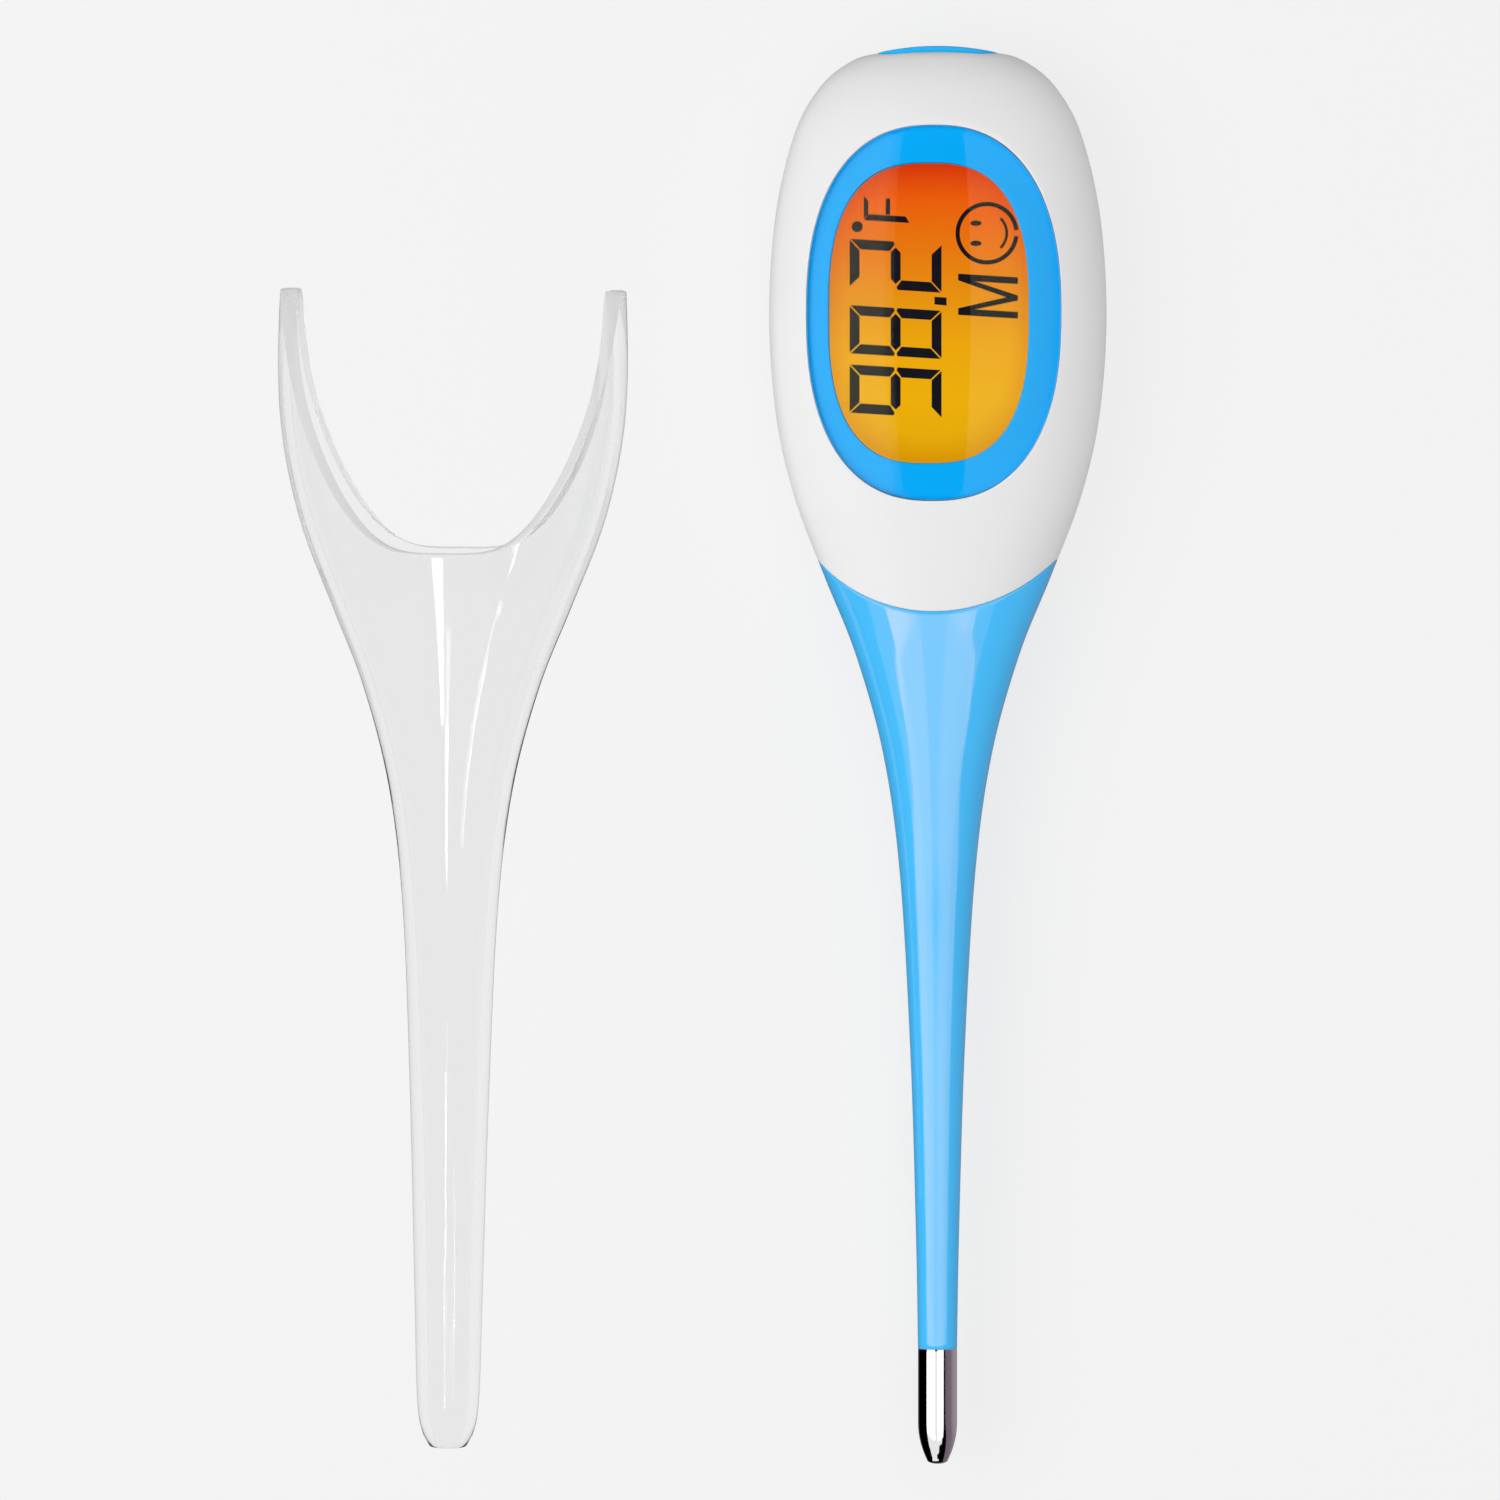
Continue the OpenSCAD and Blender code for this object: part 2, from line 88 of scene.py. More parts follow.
# Outer skin, one row per station: y, half width, height above the axis, depth below the axis
SKIN = np.array([
    [26.15, 0, 0, 0], [26.10, 6.2, 3.0, 3.0], [24.90, 9.4, 4.6, 4.6], [22.40, 12.05, 5.9, 6.1],
    [18.00, 14.35, 6.8, 7.3], [10.00, 16.2, 7.4, 8.4], [0, 16.85, 7.6, 8.8], [-10, 16.15, 7.5, 8.5],
    [-18, 14.35, 7.0, 7.6], [-26, 11.35, 6.1, 6.2], [-34, 8.15, 5.0, 5.0], [-44, 5.4, 4.1, 4.1],
    [-56, 3.75, 3.3, 3.3], [-74, 2.7, 2.65, 2.65], [-92, 2.15, 2.15, 2.15], [-103.2, 1.95, 1.95, 1.95]])
STEM_END = SKIN[-1, 0]
# Outer skin of the cap, in its place on the probe: y, half width, half height, wall
CAP = np.array([
    [4, 17.2, 9.2, 2.1], [-8, 17.55, 9.4, 1.25], [-16, 16.95, 9.2, 1.2], [-24, 15.1, 8.5, 1.25],
    [-32, 12.0, 7.4, 1.3], [-40, 8.85, 6.3, 1.15], [-50, 6.25, 5.3, 1.1], [-62, 4.8, 4.5, 1.1],
    [-80, 4.0, 3.95, 1.2], [-100, 3.45, 3.45, 1.25], [-112, 3.1, 3.1, 1.1], [-115.6, 2.4, 2.4, 1.0],
    [-116.6, 1.75, 1.75, 0.6]])


# ---------------------------------------- curves and surfaces
def spow(v, e):
    return np.sign(v) * np.abs(v) ** e


def mix(a, b, u):
    return a + (b - a) * u


def station(table, t):
    """Rows of a table at stations t, on a smooth curve through every row."""
    t = np.asarray(t, float)
    i = np.clip(np.floor(t).astype(int), 0, len(table) - 2)
    u = (t - i)[..., None]
    rows = np.vstack([2 * table[0] - table[1], table, 2 * table[-1] - table[-2]])
    a, b, c, d = (rows[i + k] for k in range(4))
    return 0.5 * (2 * b + (c - a) * u + (2 * a - 5 * b + 4 * c - d) * u ** 2
                  + (3 * b - 3 * c + d - a) * u ** 3)


def solve(f, lo, hi, steps=36):
    """Where f turns from negative to positive between lo and hi, by halving."""
    for _ in range(steps):
        middle = (lo + hi) / 2
        below = f(middle) < 0
        lo, hi = np.where(below, middle, lo), np.where(below, hi, middle)
    return (lo + hi) / 2


def station_of(table, y):
    """The station whose y is the given one."""
    y = np.asarray(y, float)
    return solve(lambda t: y - station(table, t)[..., 0], np.zeros_like(y), y * 0 + len(table) - 1)


def upper_fullness(w):
    return 2 + 0.3 * np.clip((w - 4) / 12, 0, 1)


def lower_fullness(w):
    return 2 + 0.9 * np.clip((w - 4) / 12, 0, 1)


def rest_on(z, floor, soft=0.25):
    """z, but no lower than floor, with a soft bend where the two meet."""
    d = z - floor
    return np.where(d > soft, z, floor + np.clip(d + soft, 0, None) ** 2 / (4 * soft) * (d > -soft))


def skin(t, a, inset=0.0):
    """A point of the thermometer's skin at station t, angle a round its axis, moved inwards."""
    t, a = np.broadcast_arrays(np.asarray(t, float), np.asarray(a, float))
    r = station(SKIN, t)
    w = np.maximum(r[..., 1] - inset, 0.01)
    up = np.sin(a) > 0
    h = np.maximum(np.where(up, r[..., 2], r[..., 3]) - inset, 0.01)
    n = np.where(up, upper_fullness(w), lower_fullness(w))
    x = w * spow(np.cos(a), 2 / n)
    y = r[..., 0] - inset * np.clip((r[..., 0] - 8) / 16, 0, 1)
    z = AXIS_Z + h * spow(np.sin(a), 2 / n)
    return np.stack([x, y, np.where(up, z, rest_on(z, inset + 0 * z))], -1)


def dome(x, y):
    """Height of the head's top skin over a point of its plan."""
    r = station(SKIN, station_of(SKIN, y))
    n = upper_fullness(r[..., 1])
    return AXIS_Z + r[..., 2] * np.clip(1 - np.abs(x / r[..., 1]) ** n, 0, 1) ** (1 / n)


def oval(size, angle, grow=0.0):
    """Points of an oval (half width, half length, fullness) in the directions given by angle."""
    w, l, n = size[0] + grow, size[1] + grow, size[2]
    r = (np.abs(np.cos(angle) / w) ** n + np.abs(np.sin(angle) / l) ** n) ** (-1 / n)
    return np.stack([r * np.cos(angle), r * np.sin(angle)], -1)


def opening(angle, grow=0.0):
    """The display opening, which the border, the flange and the gasket share."""
    return oval(DISPLAY, angle, grow) + np.array([OPENING_X, 0])


def whole_turn(n):
    """n angles evenly round a circle."""
    return np.arange(n) / n * 2 * PI


def at_height(plan, z):
    return np.concatenate([plan, np.broadcast_to(z, plan.shape[:-1])[..., None]], -1)


def tablet(w, h, n):
    """(across, up) points of a slot shape with round ends, spaced evenly."""
    a = whole_turn(n)
    points = np.stack([h * np.cos(a), h * np.sin(a)], -1)
    points[:, 0] += (w - h) * np.clip(np.cos(a) * 6, -1, 1)
    return points


def circle(r, angle):
    return np.stack([r * np.cos(angle), r * np.sin(angle)], -1)


def around_axis(r, y, angle):
    """Rings of radius r about the thermometer's long axis."""
    r, y, angle = np.broadcast_arrays(r, y, angle)
    return np.stack([r * np.cos(angle), y, AXIS_Z + r * np.sin(angle)], -1)


# ---------------------------------------- meshes
def linked(name, data):
    """A new object in the scene."""
    made = bpy.data.objects.new(name, data)
    bpy.context.scene.collection.objects.link(made)
    return made


def piece(name, verts, faces, sharp=32):
    """A mesh object in metres from millimetre points, faces turned outwards, smooth but for edges
    sharper than the given angle."""
    verts = np.asarray(verts, float)
    triangles = np.array([(f[0], f[i], f[i + 1]) for f in faces for i in range(1, len(f) - 1)])
    a, b, c = (verts[triangles[:, i]] for i in range(3))
    if np.einsum("ij,ij->i", a, np.cross(b, c)).sum() < 0:
        faces = [f[::-1] for f in faces]
    mesh = bpy.data.meshes.new(name)
    mesh.from_pydata((verts * MM).tolist(), [], faces)
    mesh.shade_smooth()
    mesh.set_sharp_from_angle(angle=math.radians(sharp))
    return linked(name, mesh)


def ring_faces(rows, n, closed):
    """Quads between rows of n points; closed joins the last row to the first."""
    k = np.arange(rows if closed else rows - 1)[:, None]
    i = np.arange(n)[None, :]
    j, m = (i + 1) % n, (k + 1) % rows
    return np.stack([k * n + i, k * n + j, m * n + j, m * n + i], -1).reshape(-1, 4).tolist()


def tube_solid(name, rings, sharp=32):
    """A closed solid through rings, where the last ring joins the first, as on an open tube."""
    rings = np.asarray(rings, float)
    rows, n = rings.shape[:2]
    return piece(name, rings.reshape(-1, 3), ring_faces(rows, n, True), sharp)


def capped_solid(name, rings, sharp=32):
    """A closed solid through rings, each end closed to a point in its middle."""
    rings = np.asarray(rings, float)
    rows, n = rings.shape[:2]
    verts = np.vstack([rings.reshape(-1, 3), rings[0].mean(0), rings[-1].mean(0)])
    faces = ring_faces(rows, n, False)
    start, end, last = rows * n, rows * n + 1, (rows - 1) * n
    faces += [[(i + 1) % n, i, start] for i in range(n)]
    faces += [[last + i, last + (i + 1) % n, end] for i in range(n)]
    return piece(name, verts, faces, sharp)


def plates(name, outlines, low, high):
    """Flat plates with the given outlines, between two heights."""
    verts, faces = [], []
    for outline in outlines:
        n, first = len(outline), len(verts)
        area = sum(p[0] * q[1] - q[0] * p[1] for p, q in zip(outline, outline[1:] + outline[:1]))
        outline = outline if area > 0 else outline[::-1]
        verts += [(x, y, low) for x, y in outline] + [(x, y, high) for x, y in outline]
        faces.append([first + n - 1 - i for i in range(n)])
        faces.append([first + n + i for i in range(n)])
        faces += [[first + i, first + (i + 1) % n, first + n + (i + 1) % n, first + n + i]
                  for i in range(n)]
    return piece(name, verts, faces)


# ---------------------------------------- the head's two shells
def even(path, half, n):
    """n (station, angle) points spaced evenly on the skin along a path, its end left out."""
    points = skin(path[:, 0], half * path[:, 1])
    run = np.concatenate([[0], np.cumsum(np.linalg.norm(np.diff(points, axis=0), axis=1))])
    goal = np.arange(n) / n * run[-1]
    return np.stack([np.interp(goal, run, path[:, 0]), np.interp(goal, run, path[:, 1])], -1)


def joint_station(a):
    """The station where the skin crosses the arc between head and stem."""
    centre = JOINT_Y + JOINT_R

    def past_arc(t):
        p = skin(t, a)
        return np.where(p[..., 1] > centre, -1, np.hypot(p[..., 0], p[..., 1] - centre) - JOINT_R)
    return solve(past_arc, 6.5 + 0 * a, 12 + 0 * a)


def button_station(a):
    """The station where the skin meets the hole for the power button."""
    w, h = BUTTON_W + 0.15, BUTTON_H + 0.15

    def outside(t):
        p = skin(t, a)
        across = np.clip(np.abs(p[..., 0]) - (w - h), 0, None)
        return np.hypot(across, p[..., 2] - AXIS_Z) - h
    return solve(outside, 0.02 + 0 * a, 3 + 0 * a)


def half_border(half):
    """(station, angle) round one shell's edge: button hole, one side, the arc, the other side."""
    a = np.linspace(0, PI, 300)
    button, arc = button_station(half * a), joint_station(half * a)
    left = np.linspace(button[-1], arc[-1], 600)
    right = np.linspace(arc[0], button[0], 600)
    paths = [(np.stack([button, a], -1), 56), (np.stack([left, 0 * left + PI], -1), 104),
             (np.stack([arc, a], -1)[::-1], 96), (np.stack([right, 0 * right], -1), 104)]
    return np.concatenate([even(path, half, n) for path, n in paths])


def on_skin(plan, half):
    """(station, angle) of the skin points over, or under, points of the plan."""
    t = station_of(SKIN, plan[..., 1])
    w = station(SKIN, t)[..., 1]
    n = upper_fullness(w) if half > 0 else lower_fullness(w)
    return np.stack([t, np.arccos(np.clip(spow(plan[..., 0] / w, n / 2), -1, 1))], -1)


def edge_angle(half):
    """The direction of each point of one shell's edge, seen from above its middle."""
    border = half_border(half)
    edge = skin(border[:, 0], half * border[:, 1])
    return np.arctan2(edge[:, 1], edge[:, 0])


def shell(name, half, hole, inner_hole, rim, rows=44):
    """One half of the head: its skin from a hole out to its edge, the same inside, and the rim
    rings that join the two round the hole."""
    border = half_border(half)

    def surface(start, v, inset):
        ta = mix(start, border, v)
        return skin(ta[..., 0], half * ta[..., 1], inset)
    near_edge = 1 - 0.1 * 0.02 / np.linalg.norm(
        surface(hole, 1.0, 0) - surface(hole, 0.98, 0), axis=-1)[:, None]
    steps = 1 - (1 - np.linspace(0, 1, rows)) ** 1.25
    rings = [surface(hole, s * near_edge, 0) for s in steps]
    rings.append(surface(hole, mix(near_edge, 1, 0.7), 0.03))
    rings.append(surface(hole, 1.0, 0.1))
    rings.append(surface(hole, 1.0, 0.6))
    rings += [surface(inner_hole, v, WALL) for v in steps[::-2]]
    return tube_solid(name, rings + rim, 38)


def front_case():
    angle = edge_angle(1)

    def top_ring(grow, drop):
        plan = oval(WINDOW, angle, grow)
        return at_height(plan, dome(plan[:, 0], plan[:, 1]) - drop)
    hole = on_skin(oval(WINDOW, angle, 0.1), 1)
    inner_hole = on_skin(oval(WINDOW, angle, 1.0), 1)
    rim = [at_height(oval(WINDOW, angle, 1.0), FLANGE_Z[0]),
           at_height(opening(angle, 0.4), FLANGE_Z[0]),
           at_height(opening(angle, 0.4), FLANGE_Z[1]),
           at_height(oval(WINDOW, angle, 0.03), FLANGE_Z[1]),
           top_ring(0.03, 0.12), top_ring(0.05, 0.035)]
    made = shell("front_case", 1, hole, inner_hole, rim)
    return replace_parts(made, "front_shell")


def lobes(angle, first, half_width, soft=0.035):
    """1 inside three equal stretches of the circle, 0 outside them, with soft ends."""
    d = (angle - math.radians(first) + PI / 3) % (2 * PI / 3) - PI / 3
    return np.clip((half_width - np.abs(d)) / soft + 0.5, 0, 1)


def rear_case():
    angle = edge_angle(-1)
    entries = lobes(angle, 90 - COVER_TURN, 0.175)
    mouth_r, seat_r = COVER_R + 0.1 + 0.8 * entries, COVER_R + 0.08
    boss_r, wall_r, cell_r = 13.2, 11.25, 10.35
    boss_z, wall_top, seat_top, lug_z = 2.9, 5.6, 1.65, 1.0
    hole = on_skin(circle(mouth_r + 0.1, angle), -1)
    inner_hole = on_skin(circle(boss_r, angle), -1)
    low = skin(hole[:, 0], -hole[:, 1])[:, 2]
    # round the cell, down to the cover's seat, over the ledge for its lugs and out at the back
    rim = [at_height(circle(r, angle), z) for r, z in (
        (boss_r, boss_z), (wall_r, boss_z), (wall_r, wall_top), (cell_r, wall_top),
        (cell_r, seat_top), (seat_r, seat_top), (seat_r, lug_z), (mouth_r, lug_z - 0.02),
        (mouth_r, low + 0.1), (mouth_r + 0.03, low + 0.03))]
    made = shell("rear_case", -1, hole, inner_hole, rim)
    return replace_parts(made, "rear_shell")


# ---------------------------------------- probe
def stem():
    a = whole_turn(176)
    start = joint_station(a)
    end = len(SKIN) - 1
    spigot = station_of(SKIN, np.array(SPIGOT_Y))
    hollow_end = station_of(SKIN, np.array(HOLLOW_Y))
    rings = [skin(start, a, 0.1), skin(start + 0.004, a, 0.03), skin(start + 0.012, a)]
    rings += [skin(mix(start + 0.012, end, u), a) for u in np.linspace(0, 1, 130)[1:-1]]
    rings += [skin(end - 0.006 + 0 * a, a), around_axis(TIP_R - 0.05, STEM_END, a)]
    plug_r, plug_end = TIP_R - TIP_WALL - 0.05, STEM_END - PLUG_LENGTH
    spigot_inset, hollow_inset = WALL + 0.05, WALL + 1.25
    rings += [around_axis(r, y, a) for r, y in (
        (plug_r, STEM_END), (plug_r, plug_end + 0.05), (BORE_R, plug_end), (BORE_R, BORE_Y[0]),
        (BORE_R, BORE_Y[1]))]
    rings += [skin(mix(hollow_end, spigot, u) + 0 * a, a, hollow_inset)
              for u in np.linspace(0, 1, 12)]
    rings += [skin(spigot + 0 * a, a, spigot_inset), skin(start + 0.002, a, spigot_inset)]
    made = tube_solid("stem", rings, 40)
    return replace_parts(made, "probe_stem")


def tip_half(r, nose, blunt):
    """(radius, run) points of the metal tip from its root to its end."""
    ogive = nose - blunt
    end_r = r - ogive ** 2 / (2 * OGIVE_R)
    points = [(r, s) for s in np.linspace(0.08, TIP_STRAIGHT, 14)]
    points += [(r - s ** 2 / (2 * OGIVE_R), TIP_STRAIGHT + s) for s in np.linspace(0, ogive, 16)[1:]]
    points += [(end_r * math.cos(a), TIP_STRAIGHT + ogive + blunt * math.sin(a))
               for a in np.linspace(0, PI / 2, 12)[1:-1]]
    return points


def tip():
    a = whole_turn(128)
    outer = [(TIP_R - 0.03, 0.0), (TIP_R - 0.005, 0.03)] + tip_half(TIP_R, TIP_NOSE, TIP_BLUNT)
    inner = tip_half(TIP_R - TIP_WALL, TIP_NOSE - TIP_WALL, TIP_BLUNT)
    root = [(TIP_R - TIP_WALL, 0.0)]
    half = outer + [(0.05, TIP_STRAIGHT + TIP_NOSE)]
    back = [(0.05, TIP_STRAIGHT + TIP_NOSE - TIP_WALL)] + inner[::-1] + root
    # the two sheets meet at no ring, so each closes to a point and they share the root
    rings = [around_axis(r, STEM_END - s, a) for r, s in half[::-1] + back[::-1]]
    made = capped_solid("tip", rings, 30)
    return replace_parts(made, "metal_tip")


# ---------------------------------------- window and display
def window():
    a = whole_turn(240)

    def ring(k, drop, grow=WINDOW_FIT):
        plan = oval(WINDOW, a, grow) * k
        return at_height(plan, dome(plan[:, 0], plan[:, 1]) - drop)
    steps = np.linspace(0, 1, 34)[1:] ** 0.9
    hub, face = 0.012, WINDOW_FIT - 0.07
    rings = [ring(hub, WINDOW_T)] + [ring(k, WINDOW_T) for k in steps]
    rings += [ring(1, 0.12), ring(1, 0.03, WINDOW_FIT - 0.02), ring(1, 0, face)]
    rings += [ring(k, 0, face) for k in steps[::-1][1:]] + [ring(hub, 0, face)]
    made = capped_solid("window", rings, 40)
    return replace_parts(made, "display_window")


def border_ring():
    a = whole_turn(240)
    inner, outer = opening(a), oval(WINDOW, a, WINDOW_FIT)

    def top(u, drop=0.0):
        plan = mix(inner, outer, u)
        return at_height(plan, dome(plan[:, 0], plan[:, 1]) - WINDOW_T - BORDER_DROP - drop)
    low = FLANGE_Z[1]
    rings = [at_height(inner, low), top(0, 0.2), top(0.02, 0.06)]
    rings += [top(u) for u in np.linspace(0.06, 0.96, 14)] + [top(1, 0.1), at_height(outer, low)]
    made = tube_solid("border_ring", rings, 40)
    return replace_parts(made, "window_border")


def gasket():
    """The foam frame that seals the display against the case, open where the border is."""
    low, high = (corner.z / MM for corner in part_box("window_gasket"))
    a = whole_turn(240)
    inner, outer = opening(a, 0.1), oval(GASKET_SIZE, a)
    rings = [at_height(inner, low), at_height(inner, high),
             at_height(outer, high), at_height(outer, low)]
    made = tube_solid("gasket", rings, 40)
    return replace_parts(made, "window_gasket")


def rounded_box(name, size, centre_y, z):
    """A plate with round corners and softened edges; size is its full width and length."""
    a = whole_turn(48)
    w, l = size[0] / 2, size[1] / 2
    corner, edge = 0.6, 0.06

    def outline(inset):
        c = corner - inset
        x = np.sign(np.cos(a)) * (w - corner) + c * np.cos(a)
        y = np.sign(np.sin(a + 1e-9)) * (l - corner) + c * np.sin(a)
        return np.stack([x, y + centre_y], -1)
    levels = ((corner * 0.9, z[0]), (edge, z[0]), (0, z[0] + edge),
              (0, z[1] - edge), (edge, z[1]), (corner * 0.9, z[1]))
    return capped_solid(name, [at_height(outline(inset), height) for inset, height in levels], 30)


SEGMENTS = {"9": "abcdfg", "8": "abcdefg", "2": "abged"}


def segment_shapes(w, h, t, c):
    """The seven strokes of a display digit, w wide and h high, t thick with gaps c."""
    m = h / 2
    top = [(c, h), (w - c, h), (w - t - c, h - t), (t + c, h - t)]
    upper_left = [(0, h - c), (t, h - t - c), (t, m + t / 2 + c), (t * 0.3, m + c), (0, m + t * 0.2)]
    middle = [(t / 2 + c, m), (t + c, m + t / 2), (w - t - c, m + t / 2), (w - t / 2 - c, m),
              (w - t - c, m - t / 2), (t + c, m - t / 2)]

    def flip_x(shape):
        return [(w - x, y) for x, y in shape]

    def flip_y(shape):
        return [(x, h - y) for x, y in shape]
    return {"a": top, "d": flip_y(top), "g": middle, "f": upper_left, "e": flip_y(upper_left),
            "b": flip_x(upper_left), "c": flip_y(flip_x(upper_left))}


def blob(centre, rx, ry, angles=whole_turn(24)):
    return [(centre[0] + rx * math.cos(a), centre[1] + ry * math.sin(a)) for a in angles]


def band(centre, r, width, start, stop, n=40):
    """A stroke along an arc, angles in degrees."""
    angles = np.radians(np.linspace(start, stop, n))
    outer, inner = (blob(centre, edge, edge, angles) for edge in (r + width / 2, r - width / 2))
    return outer + inner[::-1]


def display_symbols():
    """The reading on the display. Its text runs along +Y, with its top towards -X."""
    top_x, digit_h, digit_w, stroke, gap, lean = -8.45, 9.1, 4.8, 0.98, 0.09, 0.066
    shapes = []

    def write(local, left, base_x=top_x + digit_h):
        """Adds outlines of (across the letter, up the letter) points, leaning like the digits."""
        shapes.extend([[(base_x - v, left + u + lean * v) for u, v in outline]
                       for outline in local])
    strokes = segment_shapes(digit_w, digit_h, stroke, gap)
    for digit, left in (("9", -10.4), ("8", -4.5), ("2", 2.1)):
        write([strokes[s] for s in SEGMENTS[digit]], left)
    point = [(0, -0.5), (0.8, -0.5), (0.8, 0.7), (0.05, 0.7)]
    write([point], 0.85)
    # the unit: a letter built of three strokes, and a degree dot
    unit_y, unit_x, degree = 9.05, -2.55, (-7.7, 8.7)
    write([[(0, 0), (0.62, 0.35), (0.62, 4.1), (0, 4.45)],
           [(0.1, 4.5), (2.45, 4.5), (1.9, 4.05), (0.68, 4.05)],
           [(0.7, 2.35), (2.3, 2.35), (2.3, 1.9), (0.7, 1.9)]], unit_y, unit_x)
    shapes.append(blob(degree, 0.55, 0.55))
    # the memory mark: width, height, stroke and how deep its middle point reaches
    w, h, t, notch, mark_y, mark_x = 4.1, 5.9, 0.66, 1.15, -0.5, 8.2
    left_leg = [(0, 0), (t, 0), (t, h), (0, h)]
    right_leg = [(w - t, 0), (w, 0), (w, h), (w - t, h)]
    down = [(t, h), (t, h - 1.7), (w / 2 - 0.25, 0), (w / 2, 0), (w / 2, notch)]
    up = [(w - t, h), (w / 2, notch), (w / 2, 0), (w / 2 + 0.25, 0), (w - t, h - 1.7)]
    write([left_leg, right_leg, down, up], mark_y, mark_x)
    # the face: its ring open on one side, two eyes and a mouth
    face_x, face_y = 5.15, 8.0
    shapes.append(band((face_x, face_y), 2.9, 0.42, 6, 354, 90))
    shapes += [blob((face_x - 1.1, face_y + s), 0.56, 0.27) for s in (-1.0, 1.0)]
    shapes.append(band((face_x - 0.1, face_y), 2.05, 0.27, -46, 46))
    return plates("display_symbols", shapes, *SYMBOL_Z)


def display():
    low, high = (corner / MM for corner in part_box("lcd_panel"))
    width, length, middle = high.x - low.x, high.y - low.y, low.z + GLASS_T
    lower = rounded_box("display_glass", (width, length), 0, (low.z, middle))
    upper = rounded_box("display_panel", (width, length - BARE_END), BARE_END / 2, (middle, high.z))
    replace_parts(upper, "lcd_panel")
    return lower, upper, display_symbols()


# ---------------------------------------- button, battery door, cap
def button():
    """The power button with its domed face, its flange and the post that reaches the switch."""
    n = 160
    crown, flange_w, flange_h, flange_t = 0.72, BUTTON_W + 0.85, BUTTON_H + 0.75, 0.8
    post_w, post_h, post_fullness = 1.2, 0.65, 0.3
    crown_r = (BUTTON_W ** 2 + crown ** 2) / (2 * crown)

    def ring(outline, y):
        along = np.broadcast_to(y, outline.shape[:1])
        return np.stack([outline[:, 0], along, AXIS_Z + outline[:, 1]], -1)

    def face(k, drop=0.0):
        outline = tablet(BUTTON_W, BUTTON_H, n) * k
        return ring(outline, BUTTON_END - crown_r - drop
                    + np.sqrt(crown_r ** 2 - outline[:, 0] ** 2 - outline[:, 1] ** 2))
    rings = [face(k) for k in (0.02, 0.15, 0.3, 0.45, 0.6, 0.75, 0.86, 0.93)]
    rings += [face(0.97, 0.02), face(0.99, 0.06), face(1.0, 0.16)]
    rings += [ring(tablet(BUTTON_W, BUTTON_H, n), y) for y in (BUTTON_Y + 1.0, BUTTON_Y)]
    rings += [ring(tablet(flange_w, flange_h, n), y)
              for y in (BUTTON_Y - 0.01, BUTTON_Y - flange_t)]
    a = whole_turn(n)
    post = np.stack([post_w * spow(np.cos(a), post_fullness),
                     post_h * spow(np.sin(a), post_fullness)], -1)
    post_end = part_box("power_button")[0].y / MM
    rings += [ring(post, BUTTON_Y - flange_t - 0.01), ring(post, post_end + 0.1),
              ring(post * 0.92, post_end)]
    made = capped_solid("button", rings, 34)
    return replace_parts(made, "power_button")


def battery_door():
    """The round cover with its coin slot and three lugs; the dot that points on it is a piece of its
    own.
    """
    n = 240
    a = whole_turn(n)
    slot_w, slot_h, slot_top, round_r, pad_r = 6.8, 0.8, 0.95, 0.25, 5
    slot = tablet(slot_w, slot_h, n)
    low, high = COVER_Z

    def round_at(r, z):
        return at_height(circle(r, a), z)
    lug_r = COVER_R + 0.75 * lobes(a, 90, 0.14)
    rim = circle(COVER_R, a)
    rings = [at_height(slot * k, slot_top) for k in (0.02, 0.4, 0.9)]
    rings += [at_height(slot * 0.985, slot_top - 0.05), at_height(slot, slot_top - 0.15),
              at_height(slot, low + 0.1)]
    rings += [at_height(slot * (1 + g), z) for g, z in ((0.012, low + 0.03), (0.03, low))]
    rings += [at_height(mix(slot * 1.03, rim, u), low) for u in (0.1, 0.3, 0.5, 0.7, 0.9)]
    for b in np.linspace(0, PI / 2, 6):
        edge_r = COVER_R - round_r * (1 - math.sin(b))
        rings.append(round_at(edge_r, low + round_r * (1 - math.cos(b))))
    rings += [at_height(rim, 0.93),
              round_at(lug_r, 0.96), round_at(lug_r, 1.5),
              round_at(COVER_R - 0.01, 1.52), round_at(COVER_R - 0.05, high),
              round_at(pad_r, high)]
    made = capped_solid("battery_door", rings, 34)
    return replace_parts(made, "battery_cover")


def mark(name, outline_r, hole_r, centre, z):
    """A printed mark let into the back: a dot, or a ring where it has a hole."""
    a = whole_turn(40)
    depth = 0.12

    def ring(r, height):
        return at_height(circle(r, a) + np.array(centre), height)
    levels = ((outline_r, z + depth), (outline_r, z + 0.01), (outline_r - 0.04, z - 0.008))
    rings = [ring(r, h) for r, h in levels]
    if hole_r:
        rings += [ring(r, h) for r, h in
                  ((hole_r + 0.04, z - 0.008), (hole_r, z + 0.01), (hole_r, z + depth))]
        return tube_solid(name, rings, 40)
    return capped_solid(name, rings, 40)


def marks():
    """On the back a dot for locked and a ring for unlocked, and on the cover a dot that points."""
    case_r, door_r, dot_r, ring_r, ring_hole = 13.4, 9.6, 0.5, 0.6, 0.3

    def polar(r, degrees):
        return r * math.cos(math.radians(degrees)), r * math.sin(math.radians(degrees))
    return (mark("lock_mark", dot_r, 0, polar(case_r, -90), 0),
            mark("unlock_mark", ring_r, ring_hole, polar(case_r, -90 - COVER_TURN), 0),
            mark("door_mark", dot_r, 0, (0, -door_r), COVER_Z[0]))


def cap_point(y, a, inside):
    r = station(CAP, station_of(CAP, y))
    w, h = r[..., 1] - inside * r[..., 3], r[..., 2] - inside * r[..., 3]
    n = upper_fullness(w)
    return np.stack([w * spow(np.cos(a), 2 / n), y, AXIS_Z + h * spow(np.sin(a), 2 / n)], -1)


